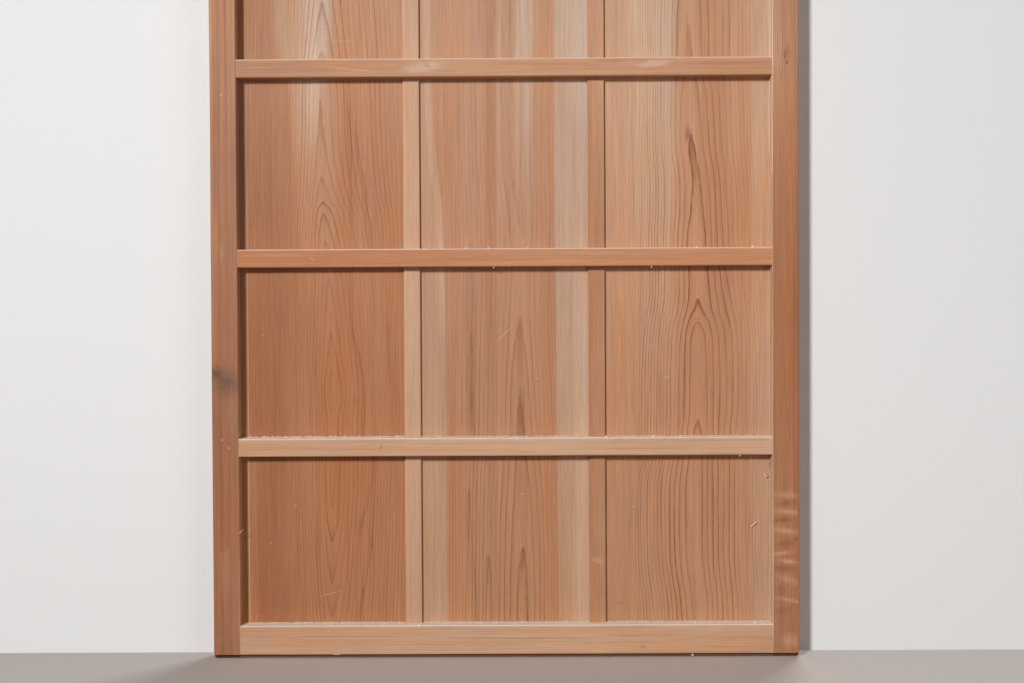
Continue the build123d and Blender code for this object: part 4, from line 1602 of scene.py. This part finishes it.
    def roll(
        self, mesh: bmesh.types.BMesh, place: Vector, length: float, radius: float, lean: float,
    ) -> None:
        """Add a shaving, rolled up about its length.

        Args:
            mesh: The mesh that gets it.
            place: Its middle.
            length: Its length.
            radius: Its radius.
            lean: Its lean about Y, in degrees.
        """
        start = len(mesh.faces)
        ends = [mesh.verts.new((radius, 0.0, level)) for level in (-length / 2, length / 2)]
        edge = mesh.edges.new(ends)
        bmesh.ops.spin(
            mesh, geom=[*ends, edge], cent=(0.0, 0.0, 0.0), axis=(0.0, 0.0, 1.0),
            dvec=(0.0, 0.0, length * 0.012),
            angle=math.radians(self.shaving_turn), steps=18, use_merge=False,
        )
        mesh.faces.ensure_lookup_table()
        bmesh.ops.solidify(mesh, geom=mesh.faces[start:], thickness=self.shaving_thick)
        mesh.faces.ensure_lookup_table()
        corners = list(dict.fromkeys(corner for face in mesh.faces[start:] for corner in face.verts))
        turn = Matrix.Rotation(math.radians(lean), 4, "Y") @ Matrix.Rotation(math.radians(200.0), 4, "Z")
        bmesh.ops.transform(mesh, matrix=Matrix.Translation(place) @ turn, verts=corners)

    def rank(self, face: bmesh.types.BMFace) -> float:
        """Rank a face by its corners, because Blender's spin stores its faces in another order each run.

        Args:
            face: The face.

        Returns:
            A number of its own.
        """
        low, middle, high = sorted(corner.index for corner in face.verts)[:3]
        return (low * self.rank_step + middle) * self.rank_step + high

    def place(self, name: str, slot: str, finish: LitterFinish, mesh: bmesh.types.BMesh) -> None:
        """Turn a mesh into a piece that rides on the door.

        Args:
            name: The piece's name.
            slot: Not used.
            finish: Its finish.
            mesh: Its mesh, which is used up.
        """
        bmesh.ops.recalc_face_normals(mesh, faces=mesh.faces)
        mesh.verts.index_update()
        mesh.faces.sort(key=self.rank)
        data = bpy.data.meshes.new(name)
        mesh.to_mesh(data)
        mesh.free()
        data.materials.append(finish.make())
        piece = bpy.data.objects.new(name, data)
        bpy.context.scene.collection.objects.link(piece)
        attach(piece, "root")
        log.info("built %s with %d faces", name, len(data.polygons))

    def tufts(self, dice: random.Random) -> None:
        """Build the lint on the rails and the threads that hang under them.

        Args:
            dice: Where their unevenness comes from.
        """
        mesh = bmesh.new()
        for x, top, size in self.lint:
            self.crumb(mesh, dice, Vector((x, -0.0140, top + size * 0.2)), size * 0.28)
            for _ in range(self.tuft_threads):
                foot = Vector(
                    (x + dice.uniform(-0.4, 0.4) * size, dice.uniform(-0.0148, -0.0128), top - 0.0001),
                )
                heading = Vector(
                    (dice.uniform(-0.8, 0.8), dice.uniform(-0.1, 0.4), dice.uniform(0.5, 1.2)),
                )
                bend = dice.uniform(0.2, 1.6) * dice.choice((-1.0, 1.0))
                self.thread(mesh, foot, heading, size * dice.uniform(0.6, 1.1), self.tuft_thick, bend)
        for x, foot, length in self.hanging:
            for _ in range(self.hanging_threads):
                start = Vector(
                    (x + dice.uniform(-0.0006, 0.0006), dice.uniform(-0.0150, -0.0138), foot + 0.0001),
                )
                heading = Vector((dice.uniform(-0.4, 0.4), dice.uniform(0.0, 0.2), -1.0))
                reach = length * dice.uniform(0.6, 1.0)
                self.thread(mesh, start, heading, reach, self.hanging_thick, dice.uniform(0.3, 1.2))
        finish = LitterFinish("lint_pale", (0.74, 0.69, 0.62), (0.90, 0.88, 0.84), 900.0)
        self.place("lint_tufts", "rail_wood", finish, mesh)

    def crumbs(self, dice: random.Random) -> None:
        """Build the crumbs that lie on the rails, and the one that stuck at the foot.

        Args:
            dice: Where their places and unevenness come from.
        """
        mesh = bmesh.new()
        for top, number in self.tops:
            for _ in range(number):
                radius = dice.uniform(0.0003, 0.0008)
                spot = Vector(
                    (dice.uniform(-0.398, 0.398), dice.uniform(-0.0150, 0.0045), top + radius * 0.5),
                )
                self.crumb(mesh, dice, spot, radius)
        self.crumb(mesh, dice, Vector(self.stuck_crumb), self.stuck_radius)
        finish = LitterFinish("crumb_pale", (0.60, 0.47, 0.37), (0.84, 0.74, 0.64), 800.0)
        self.place("dust_crumbs", "rail_wood", finish, mesh)

    def dust(self, dice: random.Random) -> None:
        """Build the banks of dust against the boards.

        Args:
            dice: Where their unevenness comes from.
        """
        mesh = bmesh.new()
        for left, right, top, height in self.banks:
            self.bank(mesh, dice, left, right, top, height)
        finish = LitterFinish("dust_pale", (0.80, 0.65, 0.52), (0.94, 0.84, 0.73), 500.0)
        self.place("dust_banks", "rail_wood", finish, mesh)

    def shavings(self) -> None:
        """Build the two curled shavings on the right board."""
        mesh = bmesh.new()
        for spot, length, radius, lean in self.rolls:
            self.roll(mesh, Vector(spot), length, radius, lean)
        finish = LitterFinish("shaving_pale", (0.60, 0.38, 0.25), (0.78, 0.56, 0.41), 600.0)
        self.place("wood_shavings", "board_wood", finish, mesh)

    def slivers(self) -> None:
        """Build the two splinters that stand out of the frame."""
        mesh = bmesh.new()
        for start, heading, length, thick in self.splinters:
            self.splinter(mesh, Vector(start), Vector(heading), length, thick)
        finish = LitterFinish("splinter_pale", (0.66, 0.46, 0.32), (0.84, 0.68, 0.54), 700.0)
        self.place("splinters", "stile_wood", finish, mesh)

    def build(self) -> None:
        """Build the five kinds of litter, always in this order because they share one run of chance."""
        dice = random.Random(self.seed)
        self.tufts(dice)
        self.crumbs(dice)
        self.dust(dice)
        self.shavings()
        self.slivers()


@dataclass
class Studio:
    """The plain floor and backdrop, the soft lamps and the camera."""

    backdrop_depth: float = 0.026
    eye: Triple = (0.0235, -2.146, 0.5134)
    pitch: float = -1.012
    roll: float = 0.285
    yaw: float = 0.341
    lens: float = 50.0
    key_place: Triple = (-1.85, -3.6, 1.88)
    key_aim: Triple = (1.1, 0.0, 0.14)
    key_size: float = 0.50
    key_spread: float = 136.0
    key_power: float = 87.0
    side_place: Triple = (2.7, -2.7, 0.9)
    side_power: float = 17.0
    fill: float = 0.09
    rear_place: Triple = (1.2, 2.6, 2.4)
    rear_power: float = 70.0

    def plane(self, name: str, corners: tuple[Triple, ...], material: bpy.types.Material) -> None:
        """Make a flat stage piece.

        Args:
            name: The piece's name.
            corners: Its corners, in order.
            material: Its material.
        """
        mesh = bpy.data.meshes.new(name)
        mesh.from_pydata(corners, [], [tuple(range(len(corners)))])
        piece = bpy.data.objects.new(name, mesh)
        piece.data.materials.append(material)
        bpy.context.scene.collection.objects.link(piece)

    def lamp(
        self, name: str, place: Triple, target: Triple, size: float, power: float, spread: float,
    ) -> None:
        """Hang a square soft lamp.

        Args:
            name: The lamp's name.
            place: Where it hangs.
            target: What it faces.
            size: Its side.
            power: Its power in watts.
            spread: How wide it shines, in degrees.
        """
        light = bpy.data.lights.new(name, "AREA")
        light.size = size
        light.spread = math.radians(spread)
        light.energy = power
        lamp = bpy.data.objects.new(name, light)
        lamp.location = place
        lamp.rotation_euler = (Vector(target) - Vector(place)).to_track_quat("-Z", "Y").to_euler()
        bpy.context.scene.collection.objects.link(lamp)

    def seen(self, bench: Bench) -> Reading:
        """Tell what the camera sees from the light that surfaces get.

        Args:
            bench: The material's bench.

        Returns:
            1 for what is seen, also in a gloss or through glass, and 0 for the light that surfaces get.
        """
        path = bench.node("ShaderNodeLightPath")
        names = ("Is Camera Ray", "Is Glossy Ray", "Is Transmission Ray")
        camera, glossy, glass = (Reading(bench, path.outputs[name]) for name in names)
        return camera.math("MAXIMUM", glossy.math("MAXIMUM", glass))

    def backdrop(self) -> bpy.types.Material:
        """Make a pale backdrop that shows from the front and lets the light through to the door's back.

        Returns:
            The material.
        """
        bench = Bench("backdrop_paper")
        bench.feed(bench.shader.inputs["Base Color"], (0.86, 0.86, 0.86))
        bench.feed(bench.shader.inputs["Roughness"], 1.0)
        bench.feed(bench.shader.inputs["Specular IOR Level"], 0.0)
        behind = Reading(bench, bench.node("ShaderNodeNewGeometry").outputs["Backfacing"])
        blend = bench.node("ShaderNodeMixShader")
        bench.feed(blend.inputs[0], self.seen(bench) * behind.flipped())
        bench.tree.links.new(bench.node("ShaderNodeBsdfTransparent").outputs[0], blend.inputs[1])
        bench.tree.links.new(bench.shader.outputs[0], blend.inputs[2])
        bench.tree.links.new(blend.outputs[0], bench.tree.nodes["Material Output"].inputs[0])
        return bench.material

    def floor(self) -> bpy.types.Material:
        """Make the plain pale floor, which throws less light back up than it shows.

        Returns:
            The material.
        """
        bench = Bench("floor_paper")
        bench.feed(
            bench.shader.inputs["Base Color"],
            bench.mix((0.26, 0.20, 0.16), (0.58, 0.52, 0.48), self.seen(bench)),
        )
        bench.feed(bench.shader.inputs["Roughness"], 0.9)
        return bench.material

    def sky(self) -> None:
        """Light the scene evenly, and show pale paper where the camera looks past the stage."""
        world = bpy.data.worlds.new("studio")
        bpy.context.scene.world = world
        world.use_nodes = True
        nodes, links = world.node_tree.nodes, world.node_tree.links
        soft = nodes["Background"]
        soft.inputs["Color"].default_value = (1.0, 1.0, 1.0, 1.0)
        soft.inputs["Strength"].default_value = self.fill
        shown = nodes.new("ShaderNodeBackground")
        shown.inputs["Color"].default_value = (0.80, 0.80, 0.80, 1.0)
        path = nodes.new("ShaderNodeLightPath")
        any_gloss, any_seen = nodes.new("ShaderNodeMath"), nodes.new("ShaderNodeMath")
        for node, slots in (
            (any_gloss, ("Is Glossy Ray", "Is Transmission Ray")), (any_seen, ("Is Camera Ray",)),
        ):
            node.operation = "MAXIMUM"
            for slot, name in zip(node.inputs, slots):
                links.new(path.outputs[name], slot)
        links.new(any_gloss.outputs[0], any_seen.inputs[1])
        blend = nodes.new("ShaderNodeMixShader")
        links.new(any_seen.outputs[0], blend.inputs[0])
        links.new(soft.outputs[0], blend.inputs[1])
        links.new(shown.outputs[0], blend.inputs[2])
        links.new(blend.outputs[0], nodes["World Output"].inputs[0])

    def camera(self) -> None:
        """Stand the camera where the photograph was taken from."""
        data = bpy.data.cameras.new("camera")
        data.lens = self.lens
        data.sensor_width = 36.0
        camera = bpy.data.objects.new("camera", data)
        turns = ((self.yaw, "Z"), (self.pitch, "X"), (self.roll, "Y"), (90.0, "X"))
        turned = Matrix.Identity(4)
        for angle, axis in turns:
            turned = turned @ Matrix.Rotation(math.radians(angle), 4, axis)
        camera.matrix_world = Matrix.Translation(self.eye) @ turned
        bpy.context.scene.collection.objects.link(camera)
        bpy.context.scene.camera = camera

    def build(self) -> None:
        """Set up the whole stage."""
        wide, deep, tall = 5.0, self.backdrop_depth, 3.2
        self.plane("floor", ((-9, -6, 0), (9, -6, 0), (9, 6, 0), (-9, 6, 0)), self.floor())
        self.plane(
            "backdrop", ((-wide, deep, 0), (wide, deep, 0), (wide, deep, tall), (-wide, deep, tall)),
            self.backdrop(),
        )
        self.lamp("key", self.key_place, self.key_aim, self.key_size, self.key_power, self.key_spread)
        self.lamp("side", self.side_place, (0.0, 0.0, 0.6), 1.8, self.side_power, 180.0)
        self.lamp("rear", self.rear_place, (0.0, 0.0, 0.9), 1.6, self.rear_power, 180.0)
        self.sky()
        self.camera()
        bpy.context.scene.view_settings.view_transform = "Standard"
        log.info("stage set")


def main() -> None:
    """Dress and build every sub-assembly in order."""
    logging.basicConfig(level=logging.INFO, format="%(name)s: %(message)s")
    Studio().build()
    Frame().dress()
    Boards().dress()
    CoverStrips().dress()
    Fixings().dress()
    Litter().build()


if __name__ == "__main__":
    main()
